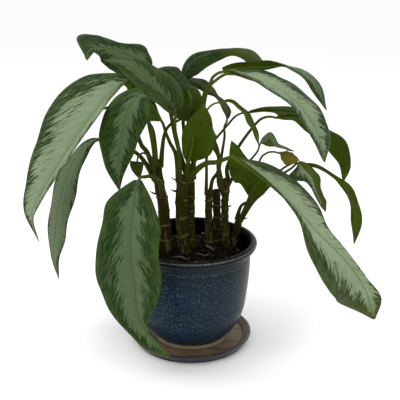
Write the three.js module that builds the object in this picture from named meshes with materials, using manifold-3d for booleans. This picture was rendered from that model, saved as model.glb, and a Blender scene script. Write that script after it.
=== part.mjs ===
// A potted chinese evergreen: a glazed stoneware pot on its saucer, soil, seven canes and the leaves
// on them, each leaf with its stalk. Millimetres, +Z up. The origin is on the surface that the saucer
// stands on, at the pot's axis. The side of the plant that is usually seen faces -Y.
import * as THREE from 'three';
import { mergeVertices } from 'three/addons/utils/BufferGeometryUtils.js';
import Module from 'manifold-3d';

const wasm = await Module();
wasm.setup();

// ---- driving dimensions -------------------------------------------------------------------------

const rimRadius = 110; // outside of the pot's rolled rim
const rimTop = 182; // height of the rim above the surface
const rimWidth = 12; // width of the rolled rim, seen from above
const wallThickness = 7.5;
const footRadius = 62; // unglazed foot ring that the pot stands on
const footHeight = 7;
const drainRadius = 8; // drain hole in the pot's floor
const saucerRadius = 103; // outside of the saucer's lip
const saucerHeight = 15;
const saucerBaseRadius = 90; // flat disc that the saucer stands on
const saucerFloor = 5.7;
const soilTop = 162;
const contactGap = 0.3; // between touching pieces
const bladeThickness = 0.8;
const caneDepth = 45; // how far a cane stands in the soil
const potSegments = 36;

// ---- colours ------------------------------------------------------------------------------------

const finish = (color, roughness) =>
  new THREE.MeshStandardMaterial({ color, roughness, metalness: 0 });
const glaze = finish(0x23303f, 0.3);
const saucerGlaze = finish(0x2a2624, 0.35);
const darkSoil = finish(0x17110c, 0.95);
const caneBark = finish(0x4a4420, 0.7);
const paleLeaf = finish(0x7d9070, 0.45);
const darkLeaf = finish(0x3c4f1d, 0.5);
const yellowLeaf = finish(0x6b6416, 0.5);

// ---- solids -------------------------------------------------------------------------------------

/** Turns a closed geometry into a manifold solid. */
function toSolid(geometry) {
  const bare = geometry.clone();
  bare.deleteAttribute('normal');
  bare.deleteAttribute('uv');
  const merged = mergeVertices(bare, 1e-4);
  return new wasm.Manifold(
    new wasm.Mesh({
      numProp: 3,
      vertProperties: new Float32Array(merged.attributes.position.array),
      triVerts: new Uint32Array(merged.index.array),
    }),
  );
}

/** Turns a manifold solid back into a geometry. */
function toGeometry(solid) {
  const mesh = solid.getMesh();
  const geometry = new THREE.BufferGeometry();
  geometry.setAttribute('position', new THREE.BufferAttribute(mesh.vertProperties, 3));
  geometry.setIndex(new THREE.BufferAttribute(mesh.triVerts, 1));
  geometry.computeVertexNormals();
  return geometry;
}

/** The largest body of a solid: loose scraps that a cut leaves behind are dropped. */
function largestBody(solid) {
  const bodies = solid.decompose();
  return bodies.reduce((best, body) => (body.volume() > best.volume() ? body : best));
}

/** A body of revolution about Z from [radius, height] points. */
function turned(points, segments) {
  const profile = points.map(([radius, height]) => new THREE.Vector2(radius, height));
  return new THREE.LatheGeometry(profile, segments).rotateX(Math.PI / 2);
}

/** Points spread evenly by length along a smooth curve, between two of its control points. */
function alongCurve(points, from, to, count) {
  const curve = new THREE.CatmullRomCurve3(points, false, 'catmullrom', 0.5);
  const last = points.length - 1;
  const fine = 200;
  const dense = Array.from({ length: fine + 1 }, (_, i) =>
    curve.getPoint((from + ((to - from) * i) / fine) / last),
  );
  const reach = [0];
  for (let i = 1; i <= fine; i++) reach.push(reach[i - 1] + dense[i].distanceTo(dense[i - 1]));
  const out = [];
  for (let i = 0, k = 0; i < count; i++) {
    const goal = (reach[fine] * i) / (count - 1);
    while (k < fine - 1 && reach[k + 1] < goal) k++;
    const share = (goal - reach[k]) / (reach[k + 1] - reach[k]);
    out.push(dense[k].clone().lerp(dense[k + 1], share));
  }
  return { points: out, length: reach[fine] };
}

/** Unit tangents of a row of points. */
function tangents(points) {
  return points.map((_, i) => {
    const before = points[Math.max(i - 1, 0)];
    const after = points[Math.min(i + 1, points.length - 1)];
    return after.clone().sub(before).normalize();
  });
}

/** A closed round tube with its own radius at each point. */
function tube(points, radii, sides) {
  const along = tangents(points);
  const positions = [];
  const indices = [];
  let side = new THREE.Vector3(1, 0, 0);
  if (Math.abs(along[0].x) > 0.8) side = new THREE.Vector3(0, 1, 0);
  points.forEach((point, i) => {
    side = side.clone().addScaledVector(along[i], -side.dot(along[i])).normalize();
    const up = along[i].clone().cross(side);
    for (let k = 0; k < sides; k++) {
      const turn = (2 * Math.PI * k) / sides;
      const spot = point.clone();
      spot.addScaledVector(side, radii[i] * Math.cos(turn));
      spot.addScaledVector(up, radii[i] * Math.sin(turn));
      positions.push(...spot.toArray());
    }
  });
  for (let i = 0; i + 1 < points.length; i++) {
    for (let k = 0; k < sides; k++) {
      const a = i * sides + k;
      const b = i * sides + ((k + 1) % sides);
      indices.push(a, b, b + sides, a, b + sides, a + sides);
    }
  }
  const lastRing = (points.length - 1) * sides;
  for (let k = 1; k + 1 < sides; k++) {
    indices.push(0, k + 1, k, lastRing, lastRing + k, lastRing + k + 1);
  }
  const geometry = new THREE.BufferGeometry();
  geometry.setAttribute('position', new THREE.Float32BufferAttribute(positions, 3));
  geometry.setIndex(indices);
  return geometry;
}

// ---- pot, saucer and soil -----------------------------------------------------------------------

function potGeometry() {
  const stand = saucerFloor + contactGap;
  const wallRadius = 100; // straight part of the wall, outside
  const innerRim = rimRadius - rimWidth;
  const inside = wallRadius - wallThickness;
  const floorTop = stand + 12;
  return turned(
    [
      [drainRadius, stand + 3],
      [footRadius - 9, stand + 3],
      [footRadius - 7, stand],
      [footRadius, stand],
      [footRadius + 1, stand + footHeight],
      [74, 26],
      [83.5, 42],
      [91, 63],
      [95.5, 95],
      [98.5, 125],
      [wallRadius, 160],
      [wallRadius + 1.5, rimTop - 14],
      [rimRadius - 2, rimTop - 11],
      [rimRadius, rimTop - 6],
      [rimRadius - 2.5, rimTop - 1],
      [rimRadius - 6, rimTop],
      [innerRim, rimTop - 3],
      [inside + 1, rimTop - 14],
      [inside, 130],
      [inside - 6, 80],
      [70, 36],
      [52, floorTop],
      [drainRadius, floorTop],
      [drainRadius, stand + 3],
    ],
    potSegments,
  );
}

function saucerGeometry() {
  return turned(
    [
      [0, 0],
      [saucerBaseRadius, 0],
      [saucerBaseRadius + 7, 3.5],
      [saucerRadius - 1, saucerHeight - 4],
      [saucerRadius, saucerHeight - 1.5],
      [saucerRadius - 2.5, saucerHeight],
      [saucerRadius - 5.5, saucerHeight - 1.5],
      [saucerBaseRadius, saucerFloor + 2],
      [saucerBaseRadius - 8, saucerFloor],
      [0, saucerFloor],
    ],
    potSegments,
  );
}

/** Soil fills the pot: a low mound, with a plain hole for each cane. */
function soilGeometry(canes) {
  const bottom = saucerFloor + 12 + 2 * contactGap;
  const edge = 100 - wallThickness - contactGap - 0.7;
  const body = turned(
    [
      [0, bottom],
      [51, bottom],
      [69, 36.5],
      [edge - 6, 80],
      [edge, 130],
      [edge, soilTop - 7],
      [76, soilTop - 3],
      [52, soilTop + 0.5],
      [26, soilTop + 2],
      [0, soilTop + 2.5],
    ],
    potSegments,
  );
  const lumpy = body.attributes.position;
  for (let i = 0; i < lumpy.count; i++) {
    const [x, y, z] = [lumpy.getX(i), lumpy.getY(i), lumpy.getZ(i)];
    const onTop = z > soilTop - 5 && Math.hypot(x, y) > 1;
    if (onTop) lumpy.setZ(i, z + 1.6 * Math.sin(x * 0.23) * Math.cos(y * 0.19 + 1));
  }
  let solid = toSolid(body);
  for (const cane of canes) solid = solid.subtract(cane.swollen);
  return toGeometry(largestBody(solid));
}

// ---- canes --------------------------------------------------------------------------------------

// Each cane: its middle line from the soil up, its radius at the soil and at the top, the distance
// between its ring-shaped leaf scars, and spurs of dried leaf base: [height, direction, length].
const caneTable = [
  {
    name: 'cane_left',
    line: [[-41, -8, 162], [-44, -8, 208], [-46, -8, 243], [-51, -9, 274], [-55, -11, 302], [-53, -12, 321]],
    radius: [11, 7.5],
    scars: 17,
    spurs: [[262, 175, 11], [232, 95, 8]],
  },
  {
    name: 'cane_centre',
    line: [[-12, -17, 162], [-15, -14, 202], [-16, -12, 244], [-15, -11, 270], [-11, -9, 295]],
    radius: [10, 10],
    scars: 19,
    spurs: [[268, 190, 9], [284, 160, 12]],
  },
  {
    name: 'cane_centre_back',
    line: [[2, 1, 162], [-1, 6, 194], [-1, 8, 238], [-1, 9, 264], [-2, 10, 287]],
    radius: [7, 7],
    scars: 15,
    spurs: [[240, 60, 7]],
  },
  {
    name: 'cane_right_slim',
    line: [[30, 14, 162], [29, 12, 201], [29, 12, 236], [29, 12, 263]],
    radius: [6.3, 6],
    scars: 21,
    spurs: [],
  },
  {
    name: 'cane_right_stub',
    line: [[44, 28, 162], [44, 29, 195], [43, 30, 230], [42, 31, 258]],
    radius: [6.8, 6.4],
    scars: 12,
    spurs: [[252, 250, 6]],
  },
  {
    name: 'cane_right_ringed',
    line: [[58, 19, 162], [57, 15, 200], [56, 15, 235], [58, 16, 267], [58, 17, 282]],
    radius: [6.8, 5.6],
    scars: 9,
    spurs: [[274, 185, 8], [232, 10, 6]],
  },
  {
    name: 'cane_right_edge',
    line: [[74, 36, 162], [78, 37, 184], [84, 37, 210]],
    radius: [6.5, 6],
    scars: 18,
    spurs: [[204, 320, 11]],
  },
];

/** Middle line and radius of a cane, with every second point on a raised leaf scar. */
function caneShape(spec, extra) {
  const [bottom] = spec.line;
  const foot = [bottom[0], bottom[1], bottom[2] - caneDepth];
  const knots = [foot, ...spec.line].map((point) => new THREE.Vector3(...point));
  const height = knots[knots.length - 1].z - foot[2];
  const steps = 2 * Math.max(3, Math.round(height / spec.scars / 1.6));
  const { points } = alongCurve(knots, 0, knots.length - 1, steps + 1);
  const [lower, upper] = spec.radius;
  const radii = points.map((point, i) => {
    const share = Math.max(0, (point.z - bottom[2]) / (height - caneDepth));
    const scar = i % 2 ? 0.9 : 0;
    const shoulder = i === steps ? 0.75 : 1;
    return (lower + (upper - lower) * share + scar) * shoulder + extra;
  });
  return { points, radii };
}

/** The cane's middle and radius at a height. */
function caneAt(shape, height) {
  const { points, radii } = shape;
  const last = points.length - 1;
  if (height >= points[last].z) return { middle: points[last], radius: radii[last - 1] };
  const i = points.findIndex((point) => point.z > height);
  const share = (height - points[i - 1].z) / (points[i].z - points[i - 1].z);
  return {
    middle: points[i - 1].clone().lerp(points[i], share),
    radius: THREE.MathUtils.lerp(radii[i - 1], radii[i], share),
  };
}

/** Unit vector in the ground plane: 0 degrees is +X, 90 degrees is +Y. */
function heading(degrees) {
  const angle = THREE.MathUtils.degToRad(degrees);
  return new THREE.Vector3(Math.cos(angle), Math.sin(angle), 0);
}

/** A dried leaf base that stands off a cane: a small upcurved thorn. */
function spur(shape, [height, direction, length], extra) {
  const { middle, radius } = caneAt(shape, height);
  const out = heading(direction);
  const line = [0.4 * radius, radius + 0.45 * length, radius + length + extra].map((reach, i) =>
    middle.clone().addScaledVector(out, reach).add(new THREE.Vector3(0, 0, 0.14 * i * i * length)),
  );
  const radii = [2.6, 1.5, 0.5].map((value) => value + 1.5 * extra);
  return toSolid(tube(line, radii, 4));
}

/** A cane with its spurs, swollen all round by a little where it is to cut its neighbours. */
function caneSolid(spec, extra) {
  const sides = 8;
  const shape = caneShape(spec, extra);
  const { points, radii } = shape;
  points[0].z -= extra;
  points[points.length - 1].z += extra;
  let solid = toSolid(tube(points, radii, sides));
  for (const thorn of spec.spurs) solid = solid.add(spur(caneShape(spec, 0), thorn, extra));
  return solid;
}

function makeCane(spec) {
  const solid = caneSolid(spec, 0);
  const swollen = caneSolid(spec, contactGap + 0.05);
  return { name: spec.name, shape: caneShape(spec, 0), solid, swollen };
}

// ---- leaves -------------------------------------------------------------------------------------

// Each leaf grows from a cane at a height and in a direction (degrees, 0 is +X, 90 is +Y). Its stalk
// runs through the stalk points to the first blade point, and the midrib through the blade points to
// the tip. Left and right are those of someone who looks at the upper side with the tip hanging down.
// stations: half-widths of the left and right half at equal steps from base to tip. Where there are
// none, width gives the greatest half-widths, widest where along the blade they are, shoulder how
// slowly the halves widen from the base and point how slender the tip is. fold and foldTip: degrees
// that the halves rise from flat, at base and tip. face and faceTip: where the upper side looks, at
// base and tip. waves: height of the margin's waves. stalk radius: at the cane and at the blade.
const leafTable = [
  {
    name: 'leaf_front_left', cane: 'cane_left', direction: 300, height: 262, stalkRadius: [4.2, 2.4],
    stalk: [[-50, -35, 290], [-60, -55, 305], [-70, -70, 310]],
    blade: [[-80, -90, 310], [-85, -120, 280], [-90, -140, 230], [-85, -145, 165], [-75, -150, 100], [-30, -140, 35]],
    stations: [[5, 42, 47, 55, 60, 50, 28, 22, 0], [5, 29, 49, 47, 50, 38, 12, 6, 0]],
    fold: [12, 18], foldTip: [5, 62], face: [-0.1, -0.75, 0.65], faceTip: [-0.15, -1, 0.15],
    waves: [2, 2], curl: 0.5, rows: 13,
  },
  {
    name: 'leaf_front_right', cane: 'cane_centre', direction: 320, height: 291, stalkRadius: [5, 2.8],
    stalk: [[20, -35, 320], [40, -40, 325], [60, -50, 335]],
    blade: [[70, -55, 335], [112, -68, 307], [152, -88, 274], [190, -105, 234], [235, -115, 190], [270, -110, 140], [290, -105, 85]],
    stations: [[2, 8, 13, 14, 17, 40, 49, 49, 48, 46, 0], [3, 34, 43, 43, 36, 20, 14.5, 11.5, 12, 19, 0]],
    fold: [80, 0], foldTip: [-15, 15], face: [0.3, -0.45, 0.8], faceTip: [-0.25, -0.95, 0.35],
    waves: [2, 1.5], curl: 0.5, rows: 14,
  },
  {
    name: 'leaf_left_pale', cane: 'cane_left', direction: 200, height: 306, stalkRadius: [4, 2.4],
    stalk: [[-70, -20, 335], [-80, -20, 350], [-90, -15, 385], [-90, -10, 420]],
    blade: [[-95, -20, 450], [-125, -40, 430], [-155, -60, 395], [-195, -70, 340], [-230, -65, 285], [-250, -60, 245], [-245, -50, 195]],
    stations: [[8, 46, 64, 65, 53, 48, 30, 13, 0], [4, 24, 32, 34, 34, 30, 28, 20, 0]],
    fold: [8, 72], foldTip: [0, 60], face: [-0.05, -0.9, 0.4], faceTip: [-0.4, -0.9, 0.15],
    waves: [3, 1.5], curl: 0.3, rows: 14,
  },
  {
    name: 'leaf_left_low', cane: 'cane_left', direction: 168, height: 286, stalkRadius: [3.8, 2.2],
    stalk: [[-75, -5, 315], [-90, 0, 330], [-120, 10, 345]],
    blade: [[-150, 10, 350], [-175, 10, 335], [-195, 0, 305], [-215, -10, 250], [-225, -10, 195], [-230, -10, 155], [-225, -5, 110]],
    width: [28, 27], fold: [5, 5], foldTip: [5, 5], face: [-0.4, -0.5, 0.75], faceTip: [-0.6, -0.8, 0.2],
    waves: [2.5, 2.5], widest: 0.45, shoulder: [0.7, 0.7], point: 1.15, curl: 0.5, rows: 12,
  },
  {
    name: 'leaf_left_hanging', cane: 'cane_left', direction: 255, height: 312, stalkRadius: [4, 2.3],
    stalk: [[-60, -35, 355], [-65, -50, 390], [-65, -60, 415]],
    blade: [[-65, -70, 435], [-80, -80, 435], [-95, -90, 410], [-105, -90, 365], [-110, -85, 325], [-110, -80, 290]],
    stations: [[12, 30, 36, 42, 41, 36, 27, 13, 0], [12, 30, 34, 31, 26, 21, 14, 6, 0]],
    fold: [8, 8], foldTip: [8, 8], face: [-0.3, -0.6, 0.75], faceTip: [-0.2, -1, 0.15],
    waves: [2, 2.5], curl: 0.5, rows: 11,
  },
  {
    name: 'leaf_top_left_back', cane: 'cane_centre_back', direction: 140, height: 280, stalkRadius: [4, 2.3],
    stalk: [[-25, 10, 350], [-35, -5, 405], [-50, 10, 440]],
    blade: [[-65, 30, 465], [-90, 40, 475], [-122, 45, 487], [-146, 43, 492], [-160, 36, 490], [-165.5, 28, 482], [-165, 20, 475]],
    stations: [[3, 11, 18, 27, 31, 31, 27, 22, 19, 18, 20, 23, 27, 36, 54, 22, 8, 3, 0], [6, 15, 23, 31, 35, 36, 36, 35, 33, 32, 30, 29, 27, 26, 18, 9, 9, 7, 0]],
    fold: [10, 0], foldTip: [10, 0], face: [0.1, -0.7, 0.7], faceTip: [-0.5, -0.5, 0.6],
    waves: [1.5, 1.5], curl: 0.5, rows: 18,
  },
  {
    name: 'leaf_top_left_front', cane: 'cane_centre', direction: 215, height: 286, stalkRadius: [4, 2.3],
    stalk: [[-20, -25, 340], [-25, -40, 375], [-25, -45, 390]],
    blade: [[-25, -50, 405], [-35, -50, 425], [-55, -40, 440], [-80, -30, 460], [-105, -20, 475], [-135, -10, 480]],
    width: [36, 24], fold: [8, 40], foldTip: [8, 10], face: [0.1, -0.85, 0.55], faceTip: [0.1, -0.6, 0.8],
    waves: [2, 2], widest: 0.32, shoulder: [0.5, 0.5], point: 1.15, curl: 0.5, rows: 10,
  },
  {
    name: 'leaf_left_behind', cane: 'cane_centre', direction: 165, height: 282, stalkRadius: [3.8, 2.2],
    stalk: [[-25, 0, 325], [-35, 8, 345], [-42, 13, 362]],
    blade: [[-48, 20, 379], [-62, 34, 402], [-86, 53, 427], [-110, 68, 438], [-134, 82, 436]],
    stations: [[4, 28, 38, 40, 38, 32, 24, 14, 0], [1, 2, 12, 28, 30, 28, 24, 14, 0]],
    fold: [0, 0], foldTip: [0, 0], face: [0.1, 0.85, 0.5], faceTip: [0.2, 0.7, 0.7],
    waves: [2, 2], curl: 0.5, rows: 9, shade: true,
  },
  {
    name: 'leaf_back_left', cane: 'cane_left', direction: 110, height: 304, stalkRadius: [3.8, 2.2],
    stalk: [[-60, 15, 345], [-68, 45, 365], [-95, 70, 385]],
    blade: [[-142, 85, 388], [-203, 84, 366], [-242, 79, 328], [-270, 70, 284], [-281, 60, 240], [-275, 52, 200]],
    width: [24, 24], fold: [0, 0], foldTip: [0, 0], face: [-0.2, 0.1, 1], faceTip: [-0.6, -0.6, 0.5],
    waves: [2, 2], widest: 0.42, shoulder: [0.7, 0.7], point: 1.15, curl: 0.5, rows: 9,
  },
  {
    name: 'leaf_centre_behind', cane: 'cane_left', direction: 20, height: 308, stalkRadius: [3.6, 2.1],
    stalk: [[-45, 0, 350], [-40, 15, 365], [-30, 20, 375]],
    blade: [[-20, 20, 380], [-15, 25, 400], [-10, 30, 415], [-15, 40, 430], [-20, 50, 440]],
    width: [30, 30], fold: [0, 0], foldTip: [0, 0], face: [-0.2, -0.8, 0.5], faceTip: [-0.2, -0.6, 0.8],
    waves: [2, 2], widest: 0.35, shoulder: [0.45, 0.45], point: 1.15, curl: 0.5, rows: 8, shade: true,
  },
  {
    name: 'leaf_small_left', cane: 'cane_left', direction: 225, height: 276, stalkRadius: [2.6, 1.4],
    stalk: [[-62, -25, 325], [-74, -35, 338], [-82, -38, 335]],
    blade: [[-85, -40, 326], [-84, -42, 314], [-82, -43, 299]],
    stations: [[12, 12, 10, 6, 0], [9, 10, 8, 5, 0]],
    fold: [0, 0], foldTip: [0, 0], face: [-0.1, -0.9, 0.4], faceTip: [0, -0.9, 0.4],
    waves: [1, 1], curl: 0.5, rows: 6, shade: true,
  },
  {
    name: 'leaf_back_top', cane: 'cane_centre_back', direction: 75, height: 276, stalkRadius: [4, 2.2],
    stalk: [[-10, 40, 335], [-15, 60, 385], [-15, 70, 410]],
    blade: [[-14, 70, 431], [-8, 70, 454], [10, 76, 472], [50, 84, 482], [92, 92, 479], [124, 96, 460]],
    stations: [[4, 20, 24, 22, 16, 11, 17, 22, 0], [4, 14, 14, 11, 7, 6, 15, 19, 0]],
    fold: [4, -15], foldTip: [4, -10], face: [-0.5, -0.85, 0.3], faceTip: [0.3, -0.5, 0.8],
    waves: [1.5, 1.5], curl: 0.5, rows: 11,
  },
  {
    name: 'leaf_small_top', cane: 'cane_centre_back', direction: 105, height: 258, stalkRadius: [3.4, 1.8],
    stalk: [[-5, 15, 330], [-5, 5, 385], [0, 5, 410]],
    blade: [[-5, 10, 430], [-20, 20, 445], [-35, 25, 460], [-55, 35, 460]],
    width: [20, 16], fold: [0, 0], foldTip: [0, 0], face: [0, -0.3, 0.95], faceTip: [-0.3, -0.3, 0.9],
    waves: [1, 1], widest: 0.5, shoulder: [0.7, 0.7], point: 1.15, curl: 0.5, rows: 7, shade: true,
  },
  {
    name: 'leaf_young_upright', cane: 'cane_centre', direction: 300, height: 295, stalkRadius: [4.8, 2.6],
    stalk: [[-5, -15, 310]],
    blade: [[-5, -15, 320], [0, -15, 340], [5, -10, 370], [15, -5, 395], [20, 0, 410]],
    width: [19, 39], fold: [18, 14], foldTip: [18, 14], face: [-0.1, 0.9, 0.3], faceTip: [-0.1, 0.9, 0.3],
    waves: [2, 3], widest: 0.42, shoulder: [0.5, 0.5], point: 1.15, curl: 0.8, rows: 9, shade: true,
  },
  {
    name: 'leaf_right_arch', cane: 'cane_centre_back', direction: 20, height: 282, stalkRadius: [4, 2.2],
    stalk: [[5, 10, 340], [15, 15, 390], [20, 20, 420], [30, 15, 440], [35, 15, 450]],
    blade: [[50, 10, 460], [78, 10, 466], [112, 13, 468], [150, 14, 467], [190, 4, 447], [214, -5, 400]],
    stations: [[6, 12, 13, 20, 24, 22, 17, 10, 0], [6, 14, 16, 14, 14, 20, 15, 8, 0]],
    fold: [10, 10], foldTip: [10, 10], face: [0.1, 0.8, 0.45], faceTip: [0.45, -0.7, 0.5],
    waves: [1.5, 1.5], curl: 0.5, rows: 11,
  },
  {
    name: 'leaf_right_pale', cane: 'cane_right_ringed', direction: 185, height: 260, stalkRadius: [4, 2.2],
    stalk: [[45, 10, 300], [45, 10, 320], [35, 10, 340], [25, 5, 370], [20, 5, 400], [25, 0, 430], [35, -5, 445]],
    blade: [[60, -10, 460], [90, -30, 455], [120, -45, 445], [155, -55, 425], [180, -65, 395], [195, -65, 365], [205, -60, 330]],
    stations: [[8, 48, 44, 36, 36, 30, 25, 14, 0], [6, 30, 40, 32, 29, 34, 26, 23, 0]],
    fold: [58, 0], foldTip: [50, 0], face: [0.1, -0.5, 0.85], faceTip: [0.2, -0.9, 0.45],
    waves: [2, 3], curl: 0.5, rows: 12,
  },
  {
    name: 'leaf_back_right_high', cane: 'cane_right_slim', direction: 200, height: 255, stalkRadius: [2.6, 1.7],
    stalk: [[25, 10, 295], [25, 15, 315], [30, 20, 335], [40, 30, 345], [60, 45, 365], [75, 50, 380]],
    blade: [[95, 55, 385], [130, 70, 385], [165, 85, 380], [195, 95, 370], [225, 100, 345]],
    stations: [[4, 15, 28, 36, 32, 22, 16, 9, 0], [3, 2, 5, 10, 22, 26, 20, 9, 0]],
    fold: [0, 0], foldTip: [0, 0], face: [0.1, 0.8, 0.6], faceTip: [0.3, 0.3, 0.9],
    waves: [1.5, 1.5], curl: 0.5, rows: 9, shade: true,
  },
  {
    name: 'leaf_back_right_low', cane: 'cane_right_ringed', direction: 30, height: 274, stalkRadius: [3.2, 1.9],
    stalk: [[60, 25, 300], [80, 30, 335], [105, 30, 370], [120, 35, 380]],
    blade: [[140, 40, 380], [175, 45, 380], [210, 45, 360], [245, 40, 335], [260, 35, 300], [255, 30, 270]],
    stations: [[4, 18, 25, 25, 24, 21, 15, 6, 0], [4, 16, 22, 23, 26, 27, 22, 12, 0]],
    fold: [5, 5], foldTip: [5, 5], face: [0.1, 0.5, 0.85], faceTip: [0.5, 0.6, 0.5],
    waves: [2, 2], curl: 0.5, rows: 11, shade: true,
  },
  {
    name: 'leaf_arched_narrow', cane: 'cane_centre', direction: 350, height: 278, stalkRadius: [2.6, 1.4],
    stalk: [[10, -20, 335], [20, -20, 390], [30, -20, 410]],
    blade: [[48, -20, 417], [62, -25, 418], [80, -34, 405], [93, -42, 386], [100, -44, 370], [105, -45, 351]],
    width: [10, 13], fold: [20, 20], foldTip: [20, 20], face: [0.45, 0.35, 0.8], faceTip: [0.8, 0.55, 0.15],
    waves: [1, 1], widest: 0.5, shoulder: [0.7, 0.7], point: 1.15, curl: 0.5, rows: 9, shade: true,
  },
  {
    name: 'leaf_back_centre', cane: 'cane_right_ringed', direction: 110, height: 249, stalkRadius: [3.2, 1.7],
    stalk: [[45, 25, 275], [50, 30, 315], [55, 40, 345], [55, 50, 360]],
    blade: [[60, 50, 375], [55, 60, 390], [45, 70, 405], [30, 80, 420], [10, 95, 430], [-15, 110, 435]],
    stations: [[2, 12, 12, 4, 10, 12, 9, 5, 0], [2, 4, 4, 4, 12, 14, 14, 10, 0]],
    fold: [10, 0], foldTip: [0, 0], face: [0.3, -0.3, 0.9], faceTip: [-0.3, -0.5, 0.9],
    waves: [1.5, 1.5], curl: 0.5, rows: 9,
  },
  {
    name: 'leaf_right_olive', cane: 'cane_right_edge', direction: 150, height: 200, stalkRadius: [3.2, 2],
    stalk: [[85, 40, 225]],
    blade: [[101, 35, 240], [100, 25, 275], [86, 15, 300], [74, 10, 325], [65, 10, 347]],
    stations: [[3, 11, 18, 25, 27, 23, 16, 9, 0], [5, 23, 27, 28, 24, 16, 11, 8, 0]],
    fold: [10, 10], foldTip: [10, 10], face: [0.1, 0.9, 0.3], faceTip: [-0.2, 0.8, 0.5],
    waves: [2, 2.5], curl: 0.5, rows: 9, shade: true,
  },
  {
    name: 'leaf_small_pale', cane: 'cane_right_ringed', direction: 300, height: 268, stalkRadius: [2.6, 1.5],
    stalk: [[75, 0, 300], [90, -10, 315], [105, -15, 335]],
    blade: [[110, -15, 350], [123.5, -20, 366], [131, -21, 361], [138, -22, 350], [150, -24, 345], [163, -27, 339]],
    stations: [[4, 14, 22, 26, 18, 8, 6, 5, 0], [3, 10, 13, 12, 8, 4, 3, 2, 0]],
    fold: [5, -30], foldTip: [5, -30], face: [0.1, -0.6, 0.8], faceTip: [0.4, -0.4, 0.8],
    waves: [1, 1], curl: 0.5, rows: 7,
  },
  {
    name: 'leaf_yellowing', cane: 'cane_right_edge', direction: 255, height: 193, stalkRadius: [2.6, 1.5],
    stalk: [[100, 15, 260], [110, -8, 318], [120, -13, 332], [129, -17, 335.5]],
    blade: [[139, -20, 335.5], [152, -25, 332], [171, -30, 325]],
    stations: [[2, 5, 12, 16, 17, 15, 11, 6, 0], [3, 9, 14, 15, 13, 11, 8, 4, 0]],
    fold: [0, 0], foldTip: [0, 0], face: [0.1, -0.3, 0.9], faceTip: [0.3, -0.7, 0.6],
    waves: [1, 1], curl: 0.5, rows: 6, yellow: true,
  },
  {
    name: 'leaf_right_drooping', cane: 'cane_right_edge', direction: 330, height: 206, stalkRadius: [3.2, 1.8],
    stalk: [[104, 19, 240], [119, 7, 260], [139, -10, 290], [160, -22, 310]],
    blade: [[170, -25, 320], [180, -30, 310], [190, -40, 300], [200, -40, 275], [214, -45, 244]],
    stations: [[8, 31, 21, 12, 8, 6, 5, 4, 0], [4, 12, 15, 16, 15, 12.5, 9.5, 11.5, 0]],
    fold: [-10, 0], foldTip: [-10, 0], face: [0.1, -0.75, 0.65], faceTip: [0.4, -0.8, 0.3],
    waves: [2, 2], curl: 0.5, rows: 9,
  },
  {
    name: 'leaf_right_narrow', cane: 'cane_right_edge', direction: 30, height: 197, stalkRadius: [2.8, 1.6],
    stalk: [[106, 52, 235], [127, 47, 260], [148, 32, 290], [166, 8, 310]],
    blade: [[175, -10, 315], [205, -20, 310], [230, -30, 295], [255, -30, 270], [265, -35, 230], [265, -35, 185]],
    stations: [[3, 8, 11.5, 12.5, 14, 15, 14, 10.5, 0], [3, 8, 13, 16, 17.5, 18, 15, 9, 0]],
    fold: [20, 20], foldTip: [20, 20], face: [0.3, 0.4, 0.85], faceTip: [0.7, 0.3, 0.4],
    waves: [1.5, 1.5], curl: 0.5, rows: 11, shade: true,
  },
  {
    name: 'leaf_back_far', cane: 'cane_right_slim', direction: 60, height: 252, stalkRadius: [3, 1.8],
    stalk: [[35, 25, 275], [45, 35, 290], [45, 50, 320], [30, 70, 355]],
    blade: [[20, 90, 375], [10, 110, 385], [0, 130, 390], [-10, 155, 380], [-15, 175, 350]],
    width: [26, 26], fold: [0, 0], foldTip: [0, 0], face: [0, 0.2, 1], faceTip: [0, 0.8, 0.5],
    waves: [2, 2], widest: 0.45, shoulder: [0.7, 0.7], point: 1.15, curl: 0.5, rows: 9,
  },
];

/** Share of a half-blade's width at t, from 0 at the base to 0 at the tip. */
function outline(t, widest, shoulder, point) {
  if (t < widest) return Math.sin((Math.PI / 2) * (t / widest)) ** shoulder;
  return (1 - ((t - widest) / (1 - widest)) ** 1.9) ** point;
}

/** Half-width of one side of the blade at t: from its stations, or from the plain outline. */
function halfWidth(leaf, side, t) {
  if (!leaf.stations) {
    return leaf.width[side] * outline(t, leaf.widest, leaf.shoulder[side], leaf.point);
  }
  const widths = leaf.stations[side];
  const last = widths.length - 1;
  const k = Math.min(Math.floor(t * last), last - 1);
  const x = t * last - k;
  const before = k > 0 ? widths[k - 1] : 2 * widths[0] - widths[1];
  const after = k + 2 <= last ? widths[k + 2] : 2 * widths[last] - widths[last - 1];
  const step = widths[k + 1] - widths[k];
  const slope = (widths[k + 1] - before) / 2;
  const next = (after - widths[k]) / 2;
  const value = widths[k] + slope * x + (3 * step - 2 * slope - next) * x ** 2 + (slope + next - 2 * step) * x ** 3;
  return Math.max(value, 0.4);
}

/** Midrib points with the direction that the blade's upper side and right half take at each. */
function midrib(leaf, knots, first, rows) {
  const { points } = alongCurve(knots, first, knots.length - 1, rows + 1);
  const along = tangents(points);
  const faceBase = new THREE.Vector3(...leaf.face).normalize();
  const faceTip = new THREE.Vector3(...leaf.faceTip).normalize();
  return points.map((point, i) => {
    const t = i / rows;
    const up = faceBase.clone().multiplyScalar(1 - t).addScaledVector(faceTip, t);
    up.addScaledVector(along[i], -up.dot(along[i])).normalize();
    return { point, along: along[i], up, right: up.clone().cross(along[i]) };
  });
}

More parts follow.
